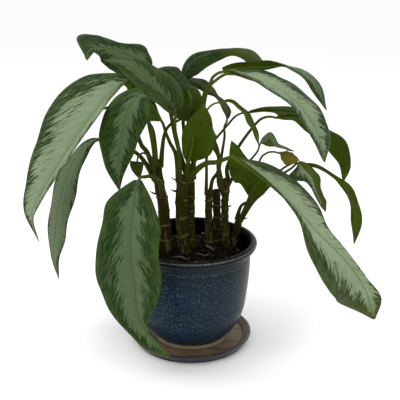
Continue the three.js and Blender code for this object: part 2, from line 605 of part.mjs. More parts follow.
/** The blade's middle surface: a grid of points, rows along the midrib and columns across it. */
function bladeGrid(leaf, spine, columns, phase) {
  const { curl } = leaf;
  const last = spine.length - 1;
  const widest = [0, 1].map((side) => Math.max(...(leaf.stations ? leaf.stations[side] : [leaf.width[side]])));
  return spine.map(({ point, up, right }, i) => {
    const t = THREE.MathUtils.lerp(0.02, 0.985, i / last);
    return columns.map((across) => {
      const side = across < 0 ? 0 : 1;
      const reach = Math.abs(across);
      const degrees = THREE.MathUtils.lerp(leaf.fold[side], leaf.foldTip[side], t);
      const fold = THREE.MathUtils.degToRad(degrees);
      const half = halfWidth(leaf, side, t);
      const share = half / widest[side];
      const out = (half * (Math.sin(fold) - Math.sin(fold - curl * reach))) / curl;
      const rise = (half * (Math.cos(fold - curl * reach) - Math.cos(fold))) / curl;
      const cycle = 2 * Math.PI * (3.2 * t + 0.3 * side + phase);
      const wave = leaf.waves[side] * reach * reach * Math.sin(cycle) * Math.min(1, 1.4 * share);
      const spot = point.clone().addScaledVector(right, Math.sign(across) * out);
      return spot.addScaledVector(up, rise + wave);
    });
  });
}

/** Thickens a grid of points into a closed sheet, split alike on both faces, with a keel below. */
function sheet(grid, thickness, keel) {
  const rows = grid.length;
  const columns = grid[0].length;
  const at = (i, j) => grid[Math.min(Math.max(i, 0), rows - 1)][Math.min(Math.max(j, 0), columns - 1)];
  const positions = [];
  for (const face of [1, -1]) {
    for (let i = 0; i < rows; i++) {
      for (let j = 0; j < columns; j++) {
        const down = at(i + 1, j).clone().sub(at(i - 1, j));
        const over = at(i, j + 1).clone().sub(at(i, j - 1));
        const normal = down.cross(over).normalize();
        const isRib = face < 0 && 2 * j === columns - 1;
        const rib = isRib ? keel * Math.max(0, 1 - (1.2 * i) / rows) : 0;
        const offset = (face * thickness) / 2 - rib;
        positions.push(...at(i, j).clone().addScaledVector(normal, offset).toArray());
      }
    }
  }
  const indices = [];
  const top = (i, j) => i * columns + j;
  const under = (i, j) => rows * columns + top(i, j);
  const quad = (a, b, c, d) => indices.push(a, b, c, a, c, d);
  for (let i = 0; i + 1 < rows; i++) {
    for (let j = 0; j + 1 < columns; j++) {
      quad(top(i, j), top(i + 1, j), top(i + 1, j + 1), top(i, j + 1));
      quad(under(i + 1, j + 1), under(i + 1, j), under(i, j), under(i, j + 1));
    }
    const [left, right] = [0, columns - 1];
    quad(top(i + 1, left), top(i, left), under(i, left), under(i + 1, left));
    quad(top(i, right), top(i + 1, right), under(i + 1, right), under(i, right));
  }
  for (let j = 0; j + 1 < columns; j++) {
    const [base, tip] = [0, rows - 1];
    quad(top(base, j), top(base, j + 1), under(base, j + 1), under(base, j));
    quad(top(tip, j + 1), top(tip, j), under(tip, j), under(tip, j + 1));
  }
  const geometry = new THREE.BufferGeometry();
  geometry.setAttribute('position', new THREE.Float32BufferAttribute(positions, 3));
  geometry.setIndex(indices);
  return geometry;
}

/** Stalk from the cane to the blade: it clasps the cane with a wider base and ends in the midrib. */
function stalkShape(leaf, knots, spine) {
  const steps = Math.max(3, Math.round(1.4 * leaf.stalk.length) + 2);
  const { points, length } = alongCurve(knots, 0, leaf.stalk.length + 1, steps + 1);
  const [thick, thin] = leaf.stalkRadius;
  const radii = points.map((_, i) => {
    const clasp = Math.exp((-i / steps) * (length / 22));
    return THREE.MathUtils.lerp(thick, thin, i / steps) + 0.35 * thick * clasp;
  });
  points[steps].addScaledVector(spine[0].up, -0.4 * thin);
  points.push(spine[1].point.clone().addScaledVector(spine[1].up, -0.3 * thin));
  radii.push(0.8 * thin);
  return { points, radii };
}

function makeLeaf(leaf, index, canes) {
  const cane = canes.find((one) => one.name === leaf.cane);
  const { middle, radius } = caneAt(cane.shape, leaf.height);
  const start = middle.clone().addScaledVector(heading(leaf.direction), 0.75 * radius);
  const knots = [start, ...[...leaf.stalk, ...leaf.blade].map((point) => new THREE.Vector3(...point))];
  const spine = midrib(leaf, knots, leaf.stalk.length + 1, leaf.rows);
  const grid = bladeGrid(leaf, spine, [-1, -0.5, 0, 0.5, 1], 0.37 * index);
  const { points, radii } = stalkShape(leaf, knots, spine);
  const sides = 5;
  const blade = toSolid(sheet(grid, bladeThickness, leaf.stalkRadius[1]));
  const solid = blade.add(toSolid(tube(points, radii, sides)));
  const [end, next] = points;
  const behind = end.clone().addScaledVector(end.clone().sub(next).normalize(), 2);
  const swollenRadii = radii.map((value) => value + contactGap + 0.12);
  const swollen = toSolid(tube([behind, ...points], [swollenRadii[0], ...swollenRadii], sides));
  return { solid, swollen };
}

// ---- the plant in its pot -----------------------------------------------------------------------

const plant = new THREE.Group();
const put = (name, geometry, material) => {
  const mesh = new THREE.Mesh(geometry, material);
  mesh.name = name;
  plant.add(mesh);
};

const canes = caneTable.map(makeCane);
put('saucer', saucerGeometry(), saucerGlaze);
put('pot', potGeometry(), glaze);
put('soil', soilGeometry(canes), darkSoil);
for (const cane of canes) put(cane.name, toGeometry(cane.solid), caneBark);

const grown = [];
leafTable.forEach((leaf, index) => {
  const made = makeLeaf(leaf, index, canes);
  for (const cane of canes) made.solid = made.solid.subtract(cane.swollen);
  for (const older of grown) made.solid = made.solid.subtract(older.swollen);
  grown.push(made);
  const material = leaf.yellow ? yellowLeaf : leaf.shade ? darkLeaf : paleLeaf;
  put(leaf.name, toGeometry(largestBody(made.solid)), material);
});

export default plant;
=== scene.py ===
"""A potted chinese evergreen: fine leaves, canes, soil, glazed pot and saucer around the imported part.

Everything is worked out in millimetres, with +Z up and the viewer at -Y, and made in metres.
"""

import math

import bpy
import numpy as np
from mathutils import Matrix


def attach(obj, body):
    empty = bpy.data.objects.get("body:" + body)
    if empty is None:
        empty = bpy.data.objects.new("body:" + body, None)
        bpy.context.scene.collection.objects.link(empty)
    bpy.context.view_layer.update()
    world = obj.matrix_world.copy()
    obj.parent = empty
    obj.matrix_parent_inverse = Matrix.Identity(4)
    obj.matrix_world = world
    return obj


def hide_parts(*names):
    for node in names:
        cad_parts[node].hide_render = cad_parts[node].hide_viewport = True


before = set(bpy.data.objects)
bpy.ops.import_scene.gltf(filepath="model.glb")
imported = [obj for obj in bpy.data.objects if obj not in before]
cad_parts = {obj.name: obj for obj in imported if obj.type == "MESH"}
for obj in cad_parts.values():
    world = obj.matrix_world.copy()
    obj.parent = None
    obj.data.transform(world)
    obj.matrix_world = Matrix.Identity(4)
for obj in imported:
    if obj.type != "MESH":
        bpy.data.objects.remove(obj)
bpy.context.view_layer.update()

MM = 0.001
rng = np.random.default_rng(7)

# ---- sizes, in millimetres ----

RIM_RADIUS = 110.0
RIM_TOP = 182.0
RIM_WIDTH = 12.0
POT_INNER = 92.5  # inside radius under the rim
FOOT_RADIUS = 62.0
DRAIN_RADIUS = 8.0
SAUCER_RADIUS = 103.0
SAUCER_HEIGHT = 15.0
SAUCER_BASE = 90.0
SAUCER_FLOOR = 5.7
GAP = 0.3
STAND = SAUCER_FLOOR + GAP  # height of the pot's foot
POT_FLOOR = STAND + 12.0
SOIL_TOP = 162.0
SOIL_EDGE = POT_INNER - GAP - 0.7
CANE_DEPTH = 45.0
BLADE_THICKNESS = 0.8
LARGE_BLADE = 40.0  # blades wider than this get more rows and wider-spaced side veins
RIB_DROP = 0.95  # how far the raised midrib hangs below the blade, in its own radii

CURVE_SAMPLES = 201
TURNED_SEGMENTS = 160
TURNED_STEPS = 4  # rings from one outline point to the next
SOIL_RINGS = 64
SOIL_BITS = 420
STRIP_SIDES, STRIP_ROWS = 8, 13
CANE_SIDES, CANE_ROWS = 32, 220
CANE_SAMPLES = 400
SPUR_SIDES, SPUR_ROWS = 8, 9
STALK_SIDES = 12
BLADE_COLUMNS = np.linspace(-1, 1, 33)
ACROSS = np.sign(BLADE_COLUMNS) * np.abs(BLADE_COLUMNS) ** 1.35  # -1 and 1 are the margins
WAVES_ALONG = 3.2
WAVE_SHIFT, HALF_SHIFT = 0.37, 0.3  # of the waves from leaf to leaf and from half to half
LEAF_SEED, HALF_SEED = 7.3, 3.1  # the same for the pattern

# ---- canes ----

# line: points of the middle line; radius at the soil and at the top; scars: spacing of the leaf scars;
# spurs: height, direction in degrees and length of dried leaf bases; bark: how brown it is.
CANES = {
    "left": dict(
        line=[(-41, -8, 162), (-44, -8, 208), (-46, -8, 243), (-51, -9, 274), (-55, -11, 302),
              (-53, -12, 321)],
        radius=(11, 7.5), scars=17, spurs=[(262, 175, 11), (232, 95, 8)], bark=0.6,
    ),
    "centre": dict(
        line=[(-12, -17, 162), (-15, -14, 202), (-16, -12, 244), (-15, -11, 270), (-11, -9, 295)],
        radius=(10, 10), scars=19, spurs=[(268, 190, 9), (284, 160, 12)], bark=0.7,
    ),
    "centre_back": dict(
        line=[(2, 1, 162), (-1, 6, 194), (-1, 8, 238), (-1, 9, 264), (-2, 10, 287)],
        radius=(7, 7), scars=15, spurs=[(240, 60, 7)], bark=0.4,
    ),
    "right_slim": dict(
        line=[(30, 14, 162), (29, 12, 201), (29, 12, 236), (29, 12, 263)],
        radius=(6.3, 6), scars=21, spurs=[], bark=0.1,
    ),
    "right_stub": dict(
        line=[(44, 28, 162), (44, 29, 195), (43, 30, 230), (42, 31, 258)],
        radius=(6.8, 6.4), scars=12, spurs=[(252, 250, 6)], bark=0.9,
    ),
    "right_ringed": dict(
        line=[(58, 19, 162), (57, 15, 200), (56, 15, 235), (58, 16, 267), (58, 17, 282)],
        radius=(6.8, 5.6), scars=9, spurs=[(274, 185, 8), (232, 10, 6)], bark=0.45,
    ),
    "right_edge": dict(
        line=[(74, 36, 162), (78, 37, 184), (84, 37, 210)],
        radius=(6.5, 6), scars=18, spurs=[(204, 320, 11)], bark=0.2,
    ),
}

# ---- leaves ----

# at: cane, direction in degrees and height where the stalk leaves it; radii: the stalk's at both ends;
# stalk and blade: points that the stalk and then the midrib run through; stations: half-widths left
# and right at equal steps from base to tip (left and right as seen with the tip hanging down), or else
# width with widest (where along the blade) and shoulder (how full the base is); fold: degrees that the
# left and right half rise at the base, then at the tip; face: where the upper side looks at base and
# tip; waves: their height at the left and right margin; curl: how far each half rounds over;
# tone: how silvery the middle is, how light the whole leaf is (partly its own green and
# partly painted shade that darkens leaves lying in shadow) and how yellow it is; cover: how far towards
# each margin the silvery middle reaches (below 0: a plain olive half); cover_tip: the same at the tip.
PLAIN = dict(stations=None, widest=0.42, shoulder=0.7, fold=0, waves=2, curl=0.5, radii=(4, 2.2))
LEAVES = {}


def add_leaf(name, **shape):
    """Note a leaf; what it doesn't say is as in PLAIN, and one number stands for equal ones."""
    leaf = {**PLAIN, **shape}
    leaf.setdefault("cover_tip", leaf["cover"])
    for key, count in (("fold", 4), ("waves", 2), ("cover", 2), ("cover_tip", 2)):
        leaf[key] = np.broadcast_to(leaf[key], count)
    LEAVES[name] = leaf


add_leaf(
    "front_left", at=("left", 300, 262), radii=(4.2, 2.4),
    stalk=[(-50, -35, 290), (-60, -55, 305), (-70, -70, 310)],
    blade=[(-80, -90, 310), (-85, -120, 280), (-90, -140, 230), (-85, -145, 165), (-75, -150, 100),
           (-30, -140, 35)],
    stations=([5, 42, 47, 55, 60, 50, 28, 22, 0], [5, 29, 49, 47, 50, 38, 12, 6, 0]),
    fold=(12, 18, 5, 62), face=(-0.1, -0.75, 0.65, -0.15, -1, 0.15), tone=(0.2, 0.46, 0),
    cover=(0.34, 0.3), cover_tip=0.62,
)
add_leaf(
    "front_right", at=("centre", 320, 291), radii=(5, 2.8),
    stalk=[(20, -35, 320), (40, -40, 325), (60, -50, 335)],
    blade=[(70, -55, 335), (112, -68, 307), (152, -88, 274), (190, -105, 234), (235, -115, 190),
           (270, -110, 140), (290, -105, 85)],
    stations=([2, 8, 13, 14, 17, 40, 49, 49, 48, 46, 0],
              [3, 34, 43, 43, 36, 20, 14.5, 11.5, 12, 19, 0]),
    fold=(80, 0, -15, 15), face=(0.3, -0.45, 0.8, -0.25, -0.95, 0.35), waves=(2, 1.5),
    tone=(0.92, 0.52, 0.05), cover=0.4, cover_tip=(0.55, 1.2),
)
add_leaf(
    "left_pale", at=("left", 200, 306), radii=(4, 2.4),
    stalk=[(-70, -20, 335), (-80, -20, 350), (-90, -15, 385), (-90, -10, 420)],
    blade=[(-95, -20, 450), (-125, -40, 430), (-155, -60, 395), (-195, -70, 340), (-230, -65, 285),
           (-250, -60, 245), (-245, -50, 195)],
    stations=([8, 46, 64, 65, 53, 48, 30, 13, 0], [4, 24, 32, 34, 34, 30, 28, 20, 0]),
    fold=(8, 72, 0, 60), face=(-0.05, -0.9, 0.4, -0.4, -0.9, 0.15), waves=(3, 1.5), curl=0.3,
    tone=(0.82, 0.47, 0), cover=(0.5, 0.85), cover_tip=(0.88, 0.9),
)
add_leaf(
    "left_low", at=("left", 168, 286), radii=(3.8, 2.2),
    stalk=[(-75, -5, 315), (-90, 0, 330), (-120, 10, 345)],
    blade=[(-150, 10, 350), (-175, 10, 335), (-195, 0, 305), (-215, -10, 250), (-225, -10, 195),
           (-230, -10, 155), (-225, -5, 110)],
    width=(28, 27), fold=5, face=(-0.4, -0.5, 0.75, -0.6, -0.8, 0.2), waves=2.5, widest=0.45,
    tone=(0.38, 0.45, 0), cover=(0.8, 0.9),
)
add_leaf(
    "left_hanging", at=("left", 255, 312), radii=(4, 2.3),
    stalk=[(-60, -35, 355), (-65, -50, 390), (-65, -60, 415)],
    blade=[(-65, -70, 435), (-80, -80, 435), (-95, -90, 410), (-105, -90, 365), (-110, -85, 325),
           (-110, -80, 290)],
    stations=([12, 30, 36, 42, 41, 36, 27, 13, 0], [12, 30, 34, 31, 26, 21, 14, 6, 0]),
    fold=8, face=(-0.3, -0.6, 0.75, -0.2, -1, 0.15), waves=(2, 2.5), tone=(0.15, 0.4, 0),
    cover=(0.32, 0.42),
)
add_leaf(
    "top_left_back", at=("centre_back", 140, 280), radii=(4, 2.3),
    stalk=[(-25, 10, 350), (-35, -5, 405), (-50, 10, 440)],
    blade=[(-65, 30, 465), (-90, 40, 475), (-122, 45, 487), (-146, 43, 492), (-160, 36, 490),
           (-165.5, 28, 482), (-165, 20, 475)],
    stations=([3, 11, 18, 27, 31, 31, 27, 22, 19, 18, 20, 23, 27, 36, 54, 22, 8, 3, 0],
              [6, 15, 23, 31, 35, 36, 36, 35, 33, 32, 30, 29, 27, 26, 18, 9, 9, 7, 0]),
    fold=(10, 0, 10, 0), face=(0.1, -0.7, 0.7, -0.5, -0.5, 0.6), waves=1.5, tone=(0.17, 0.18, 0),
    cover=(0.55, 0.5), cover_tip=(0.15, 0.25),
)
add_leaf(
    "top_left_front", at=("centre", 215, 286), radii=(4, 2.3),
    stalk=[(-20, -25, 340), (-25, -40, 375), (-25, -45, 390)],
    blade=[(-25, -50, 405), (-35, -50, 425), (-55, -40, 440), (-80, -30, 460), (-105, -20, 475),
           (-135, -10, 480)],
    width=(36, 24), fold=(8, 40, 8, 10), face=(0.1, -0.85, 0.55, 0.1, -0.6, 0.8), widest=0.32,
    shoulder=0.5, tone=(0.14, 0.28, 0.04), cover=(0, 0.02), cover_tip=(0.85, 0.35),
)
add_leaf(
    "left_behind", at=("centre", 165, 282), radii=(3.8, 2.2),
    stalk=[(-25, 0, 325), (-35, 8, 345), (-42, 13, 362)],
    blade=[(-48, 20, 379), (-62, 34, 402), (-86, 53, 427), (-110, 68, 438), (-134, 82, 436)],
    stations=([4, 28, 38, 40, 38, 32, 24, 14, 0], [1, 2, 12, 28, 30, 28, 24, 14, 0]),
    face=(0.1, 0.85, 0.5, 0.2, 0.7, 0.7), tone=(0, 0.3, 0), cover=0.1,
)
add_leaf(
    "back_left", at=("left", 110, 304), radii=(3.8, 2.2),
    stalk=[(-60, 15, 345), (-68, 45, 365), (-95, 70, 385)],
    blade=[(-142, 85, 388), (-203, 84, 366), (-242, 79, 328), (-270, 70, 284), (-281, 60, 240),
           (-275, 52, 200)],
    width=(24, 24), face=(-0.2, 0.1, 1, -0.6, -0.6, 0.5), tone=(0.8, 0.5, 0), cover=0.5,
)
add_leaf(
    "centre_behind", at=("left", 20, 308), radii=(3.6, 2.1),
    stalk=[(-45, 0, 350), (-40, 15, 365), (-30, 20, 375)],
    blade=[(-20, 20, 380), (-15, 25, 400), (-10, 30, 415), (-15, 40, 430), (-20, 50, 440)],
    width=(30, 30), face=(-0.2, -0.8, 0.5, -0.2, -0.6, 0.8), widest=0.35, shoulder=0.45,
    tone=(0, 0.1, 0), cover=-0.2,
)
add_leaf(
    "small_left", at=("left", 225, 276), radii=(2.6, 1.4),
    stalk=[(-62, -25, 325), (-74, -35, 338), (-82, -38, 335)],
    blade=[(-85, -40, 326), (-84, -42, 314), (-82, -43, 299)],
    stations=([12, 12, 10, 6, 0], [9, 10, 8, 5, 0]),
    face=(-0.1, -0.9, 0.4, 0, -0.9, 0.4), waves=1, tone=(0, 0.1, 0), cover=-0.2,
)
add_leaf(
    "back_top", at=("centre_back", 75, 276),
    stalk=[(-10, 40, 335), (-15, 60, 385), (-15, 70, 410)],
    blade=[(-14, 70, 431), (-8, 70, 454), (10, 76, 472), (50, 84, 482), (92, 92, 479),
           (124, 96, 460)],
    stations=([4, 20, 24, 22, 16, 11, 17, 22, 0], [4, 14, 14, 11, 7, 6, 15, 19, 0]),
    fold=(4, -15, 4, -10), face=(-0.5, -0.85, 0.3, 0.3, -0.5, 0.8), waves=1.5, tone=(0.1, -0.1, 0),
    cover=(0.15, 0.1), cover_tip=-0.2,
)
add_leaf(
    "small_top", at=("centre_back", 105, 258), radii=(3.4, 1.8),
    stalk=[(-5, 15, 330), (-5, 5, 385), (0, 5, 410)],
    blade=[(-5, 10, 430), (-20, 20, 445), (-35, 25, 460), (-55, 35, 460)],
    width=(20, 16), face=(0, -0.3, 0.95, -0.3, -0.3, 0.9), waves=1, widest=0.5, tone=(0.05, 0, 0),
    cover=0.1,
)
add_leaf(
    "young_upright", at=("centre", 300, 295), radii=(4.8, 2.6),
    stalk=[(-5, -15, 310)],
    blade=[(-5, -15, 320), (0, -15, 340), (5, -10, 370), (15, -5, 395), (20, 0, 410)],
    width=(19, 39), fold=(18, 14, 18, 14), face=(-0.1, 0.9, 0.3, -0.1, 0.9, 0.3), waves=(2, 3),
    shoulder=0.5, curl=0.8, tone=(0.5, 0.5, 0), cover=0.4,
)
add_leaf(
    "right_arch", at=("centre_back", 20, 282),
    stalk=[(5, 10, 340), (15, 15, 390), (20, 20, 420), (30, 15, 440), (35, 15, 450)],
    blade=[(50, 10, 460), (78, 10, 466), (112, 13, 468), (150, 14, 467), (190, 4, 447),
           (214, -5, 400)],
    stations=([6, 12, 13, 20, 24, 22, 17, 10, 0], [6, 14, 16, 14, 14, 20, 15, 8, 0]),
    fold=10, face=(0.1, 0.8, 0.45, 0.45, -0.7, 0.5), waves=1.5, tone=(0.3, 0.35, 0), cover=0.6,
)
add_leaf(
    "right_pale", at=("right_ringed", 185, 260),
    stalk=[(45, 10, 300), (45, 10, 320), (35, 10, 340), (25, 5, 370), (20, 5, 400), (25, 0, 430),
           (35, -5, 445)],
    blade=[(60, -10, 460), (90, -30, 455), (120, -45, 445), (155, -55, 425), (180, -65, 395),
           (195, -65, 365), (205, -60, 330)],
    stations=([8, 48, 44, 36, 36, 30, 25, 14, 0], [6, 30, 40, 32, 29, 34, 26, 23, 0]),
    fold=(58, 0, 50, 0), face=(0.1, -0.5, 0.85, 0.2, -0.9, 0.45), waves=(2, 3), tone=(0.75, 0.5, 0),
    cover=(0.72, 0.55),
)
add_leaf(
    "back_right_high", at=("right_slim", 200, 255), radii=(2.6, 1.7),
    stalk=[(25, 10, 295), (25, 15, 315), (30, 20, 335), (40, 30, 345), (60, 45, 365),
           (75, 50, 380)],
    blade=[(95, 55, 385), (130, 70, 385), (165, 85, 380), (195, 95, 370), (225, 100, 345)],
    stations=([4, 15, 28, 36, 32, 22, 16, 9, 0], [3, 2, 5, 10, 22, 26, 20, 9, 0]),
    face=(0.1, 0.8, 0.6, 0.3, 0.3, 0.9), waves=1.5, tone=(0.2, 0.4, 0), cover=0.2,
)
add_leaf(
    "back_right_low", at=("right_ringed", 30, 274), radii=(3.2, 1.9),
    stalk=[(60, 25, 300), (80, 30, 335), (105, 30, 370), (120, 35, 380)],
    blade=[(140, 40, 380), (175, 45, 380), (210, 45, 360), (245, 40, 335), (260, 35, 300),
           (255, 30, 270)],
    stations=([4, 18, 25, 25, 24, 21, 15, 6, 0], [4, 16, 22, 23, 26, 27, 22, 12, 0]),
    fold=5, face=(0.1, 0.5, 0.85, 0.5, 0.6, 0.5), tone=(0.2, 0.4, 0), cover=0.2,
)
add_leaf(
    "arched_narrow", at=("centre", 350, 278), radii=(2.6, 1.4),
    stalk=[(10, -20, 335), (20, -20, 390), (30, -20, 410)],
    blade=[(48, -20, 417), (62, -25, 418), (80, -34, 405), (93, -42, 386), (100, -44, 370),
           (105, -45, 351)],
    width=(10, 13), fold=20, face=(0.45, 0.35, 0.8, 0.8, 0.55, 0.15), waves=1, widest=0.5,
    tone=(0.1, 0.5, 0), cover=0.2,
)
add_leaf(
    "back_centre", at=("right_ringed", 110, 249), radii=(3.2, 1.7),
    stalk=[(45, 25, 275), (50, 30, 315), (55, 40, 345), (55, 50, 360)],
    blade=[(60, 50, 375), (55, 60, 390), (45, 70, 405), (30, 80, 420), (10, 95, 430),
           (-15, 110, 435)],
    stations=([2, 12, 12, 4, 10, 12, 9, 5, 0], [2, 4, 4, 4, 12, 14, 14, 10, 0]),
    fold=(10, 0, 0, 0), face=(0.3, -0.3, 0.9, -0.3, -0.5, 0.9), waves=1.5, tone=(0.1, 0.1, 0.1),
    cover=0.4,
)
add_leaf(
    "right_olive", at=("right_edge", 150, 200), radii=(3.2, 2),
    stalk=[(85, 40, 225)],
    blade=[(101, 35, 240), (100, 25, 275), (86, 15, 300), (74, 10, 325), (65, 10, 347)],
    stations=([3, 11, 18, 25, 27, 23, 16, 9, 0], [5, 23, 27, 28, 24, 16, 11, 8, 0]),
    fold=10, face=(0.1, 0.9, 0.3, -0.2, 0.8, 0.5), waves=(2, 2.5), tone=(0.5, 0.55, 0), cover=0.4,
)
add_leaf(
    "small_pale", at=("right_ringed", 300, 268), radii=(2.6, 1.5),
    stalk=[(75, 0, 300), (90, -10, 315), (105, -15, 335)],
    blade=[(110, -15, 350), (123.5, -20, 366), (131, -21, 361), (138, -22, 350), (150, -24, 345),
           (163, -27, 339)],
    stations=([4, 14, 22, 26, 18, 8, 6, 5, 0], [3, 10, 13, 12, 8, 4, 3, 2, 0]),
    fold=(5, -30, 5, -30), face=(0.1, -0.6, 0.8, 0.4, -0.4, 0.8), waves=1, tone=(0.48, 0.4, 0.08),
    cover=1,
)
add_leaf(
    "yellowing", at=("right_edge", 255, 193), radii=(2.6, 1.5),
    stalk=[(100, 15, 260), (110, -8, 318), (120, -13, 332), (129, -17, 335.5)],
    blade=[(139, -20, 335.5), (152, -25, 332), (171, -30, 325)],
    stations=([2, 5, 12, 16, 17, 15, 11, 6, 0], [3, 9, 14, 15, 13, 11, 8, 4, 0]),
    face=(0.1, -0.3, 0.9, 0.3, -0.7, 0.6), waves=1, tone=(0, 0.5, 1), cover=0.4,
)
add_leaf(
    "right_drooping", at=("right_edge", 330, 206), radii=(3.2, 1.8),
    stalk=[(104, 19, 240), (119, 7, 260), (139, -10, 290), (160, -22, 310)],
    blade=[(170, -25, 320), (180, -30, 310), (190, -40, 300), (200, -40, 275), (214, -45, 244)],
    stations=([8, 31, 21, 12, 8, 6, 5, 4, 0], [4, 12, 15, 16, 15, 12.5, 9.5, 11.5, 0]),
    fold=(-10, 0, -10, 0), face=(0.1, -0.75, 0.65, 0.4, -0.8, 0.3), tone=(0.6, 0.5, 0),
    cover=(0.5, -0.2), cover_tip=(0.6, -0.2),
)
add_leaf(
    "right_narrow", at=("right_edge", 30, 197), radii=(2.8, 1.6),
    stalk=[(106, 52, 235), (127, 47, 260), (148, 32, 290), (166, 8, 310)],
    blade=[(175, -10, 315), (205, -20, 310), (230, -30, 295), (255, -30, 270), (265, -35, 230),
           (265, -35, 185)],
    stations=([3, 8, 11.5, 12.5, 14, 15, 14, 10.5, 0], [3, 8, 13, 16, 17.5, 18, 15, 9, 0]),
    fold=20, face=(0.3, 0.4, 0.85, 0.7, 0.3, 0.4), waves=1.5, tone=(0.1, 0.45, 0), cover=0.2,
)
add_leaf(
    "back_far", at=("right_slim", 60, 252), radii=(3, 1.8),
    stalk=[(35, 25, 275), (45, 35, 290), (45, 50, 320), (30, 70, 355)],
    blade=[(20, 90, 375), (10, 110, 385), (0, 130, 390), (-10, 155, 380), (-15, 175, 350)],
    width=(26, 26), face=(0, 0.2, 1, 0, 0.8, 0.5), widest=0.45, tone=(0.8, 0.5, 0), cover=0.5,
)

# ---- curves ----


def unit(vectors):
    """Vectors of length one along the last axis."""
    size = np.linalg.norm(vectors, axis=-1, keepdims=True)
    return vectors / np.maximum(size, 1e-9)


def spline(points, at):
    """A smooth curve through the points, read at the parameters `at` (0 is the first point)."""
    points = np.asarray(points, float)
    first = 2 * points[0] - points[1]
    last = 2 * points[-1] - points[-2]
    padded = np.vstack([first, points, last])
    start = np.clip(np.floor(at).astype(int), 0, len(points) - 2)
    x = (at - start)[:, None]
    p0, p1, p2, p3 = (padded[start + k] for k in range(4))
    m1 = (p2 - p0) / 2
    m2 = (p3 - p1) / 2
    return p1 + m1 * x + (3 * (p2 - p1) - 2 * m1 - m2) * x**2 + (2 * (p1 - p2) + m1 + m2) * x**3


def along_curve(points, first, last, shares):
    """Points at the given shares of the length between two control points, and that length."""
    dense = spline(points, np.linspace(first, last, CURVE_SAMPLES))
    steps = np.linalg.norm(np.diff(dense, axis=0), axis=1)
    reach = np.concatenate([[0], np.cumsum(steps)])
    goal = np.asarray(shares) * reach[-1]
    return np.stack([np.interp(goal, reach, dense[:, k]) for k in range(3)], 1), reach[-1]


def tangents(points):
    ahead = np.vstack([points[1:], points[-1:]])
    behind = np.vstack([points[:1], points[:-1]])
    return unit(ahead - behind)


# ---- meshes ----


def new_object(name, data):
    made = bpy.data.objects.new(name, data)
    bpy.context.scene.collection.objects.link(made)
    return made


class Shape:
    """Collects vertices, faces and per-vertex values of one piece."""

    def __init__(self):
        self.points, self.faces, self.materials, self.uvs = [], [], [], []
        self.values = {}
        self.count = 0

    def add(self, points, faces, materials=0, uv=None, **values):
        """Add a closed part; `materials` is one number for all its faces or a list of theirs."""
        points = np.asarray(points, float).reshape(-1, 3)
        self.points.append(points)
        self.faces += [tuple(int(k) + self.count for k in face) for face in faces]
        self.materials += np.broadcast_to(materials, len(faces)).tolist()
        self.uvs.append(np.zeros((len(points), 2)) if uv is None else uv.reshape(-1, 2))
        for key, value in values.items():
            done = self.values.setdefault(key, [])
            done.append((self.count, np.asarray(value, float)))
        self.count += len(points)

    def build(self, name, materials, smooth=True):
        mesh = bpy.data.meshes.new(name)
        mesh.from_pydata((np.vstack(self.points) * MM).tolist(), [], self.faces)
        for material in materials:
            mesh.materials.append(material)
        mesh.polygons.foreach_set("material_index", self.materials)
        mesh.polygons.foreach_set("use_smooth", [smooth] * len(self.faces))
        loops = np.zeros(len(mesh.loops), int)
        mesh.loops.foreach_get("vertex_index", loops)
        layer = mesh.uv_layers.new(name="blade")
        layer.data.foreach_set("uv", np.vstack(self.uvs)[loops].ravel())
        for key, parts in self.values.items():
            self.store(mesh, key, parts)
        mesh.update()
        return new_object(name, mesh)

    def store(self, mesh, key, parts):
        """Write one set of values to the mesh: numbers or vectors, 0 where no part gave any."""
        single = parts[0][1].ndim == 1
        data = np.zeros((self.count, 1 if single else 3), np.float32)
        for start, value in parts:
            data[start : start + len(value)] = value.reshape(len(value), -1)
        attribute = mesh.attributes.new(key, "FLOAT" if single else "FLOAT_VECTOR", "POINT")
        attribute.data.foreach_set("value" if single else "vector", data.ravel())


def settle(piece, slot, *nodes):
    """The piece rides on the part and stands for the CAD nodes; the slot is not used."""
    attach(piece, "root")
    if nodes:
        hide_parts(*nodes)


def grid_faces(rows, columns, wrap=False, start=0, flip=False):
    """Quads of a grid of points, stored row by row."""
    faces = []
    for i in range(rows - 1):
        for j in range(columns if wrap else columns - 1):
            a = start + i * columns + j
            b = start + i * columns + (j + 1) % columns
            quad = (a, a + columns, b + columns, b)
            faces.append(quad[::-1] if flip else quad)
    return faces


def stack_faces(rows, sides, flip=True):
    """Faces of a stack of rings with a lid at each end."""
    first = tuple(range(sides))
    last = tuple((rows - 1) * sides + k for k in first)
    lids = [first[::-1], last] if flip else [first, last[::-1]]
    return grid_faces(rows, sides, wrap=True, flip=flip) + lids


def circle(sides):
    """The angles of a ring's points."""
    return 2 * np.pi * np.arange(sides) / sides


def tube(points, radii, sides):
    """Rings of points along a line, each with its own radius or radii, and their faces."""
    points = np.asarray(points, float)
    along = tangents(points)
    side = np.array([0.0, 1, 0]) if abs(along[0][0]) > 0.8 else np.array([1.0, 0, 0])
    turn = circle(sides)
    rings = []
    for i, point in enumerate(points):
        side = unit(side - along[i] * side.dot(along[i]))
        up = np.cross(along[i], side)
        radius = np.broadcast_to(radii[i], (sides,))
        ring = point + np.outer(radius * np.cos(turn), side) + np.outer(radius * np.sin(turn), up)
        rings.append(ring)
    return np.vstack(rings), stack_faces(len(points), sides)


# ---- materials ----


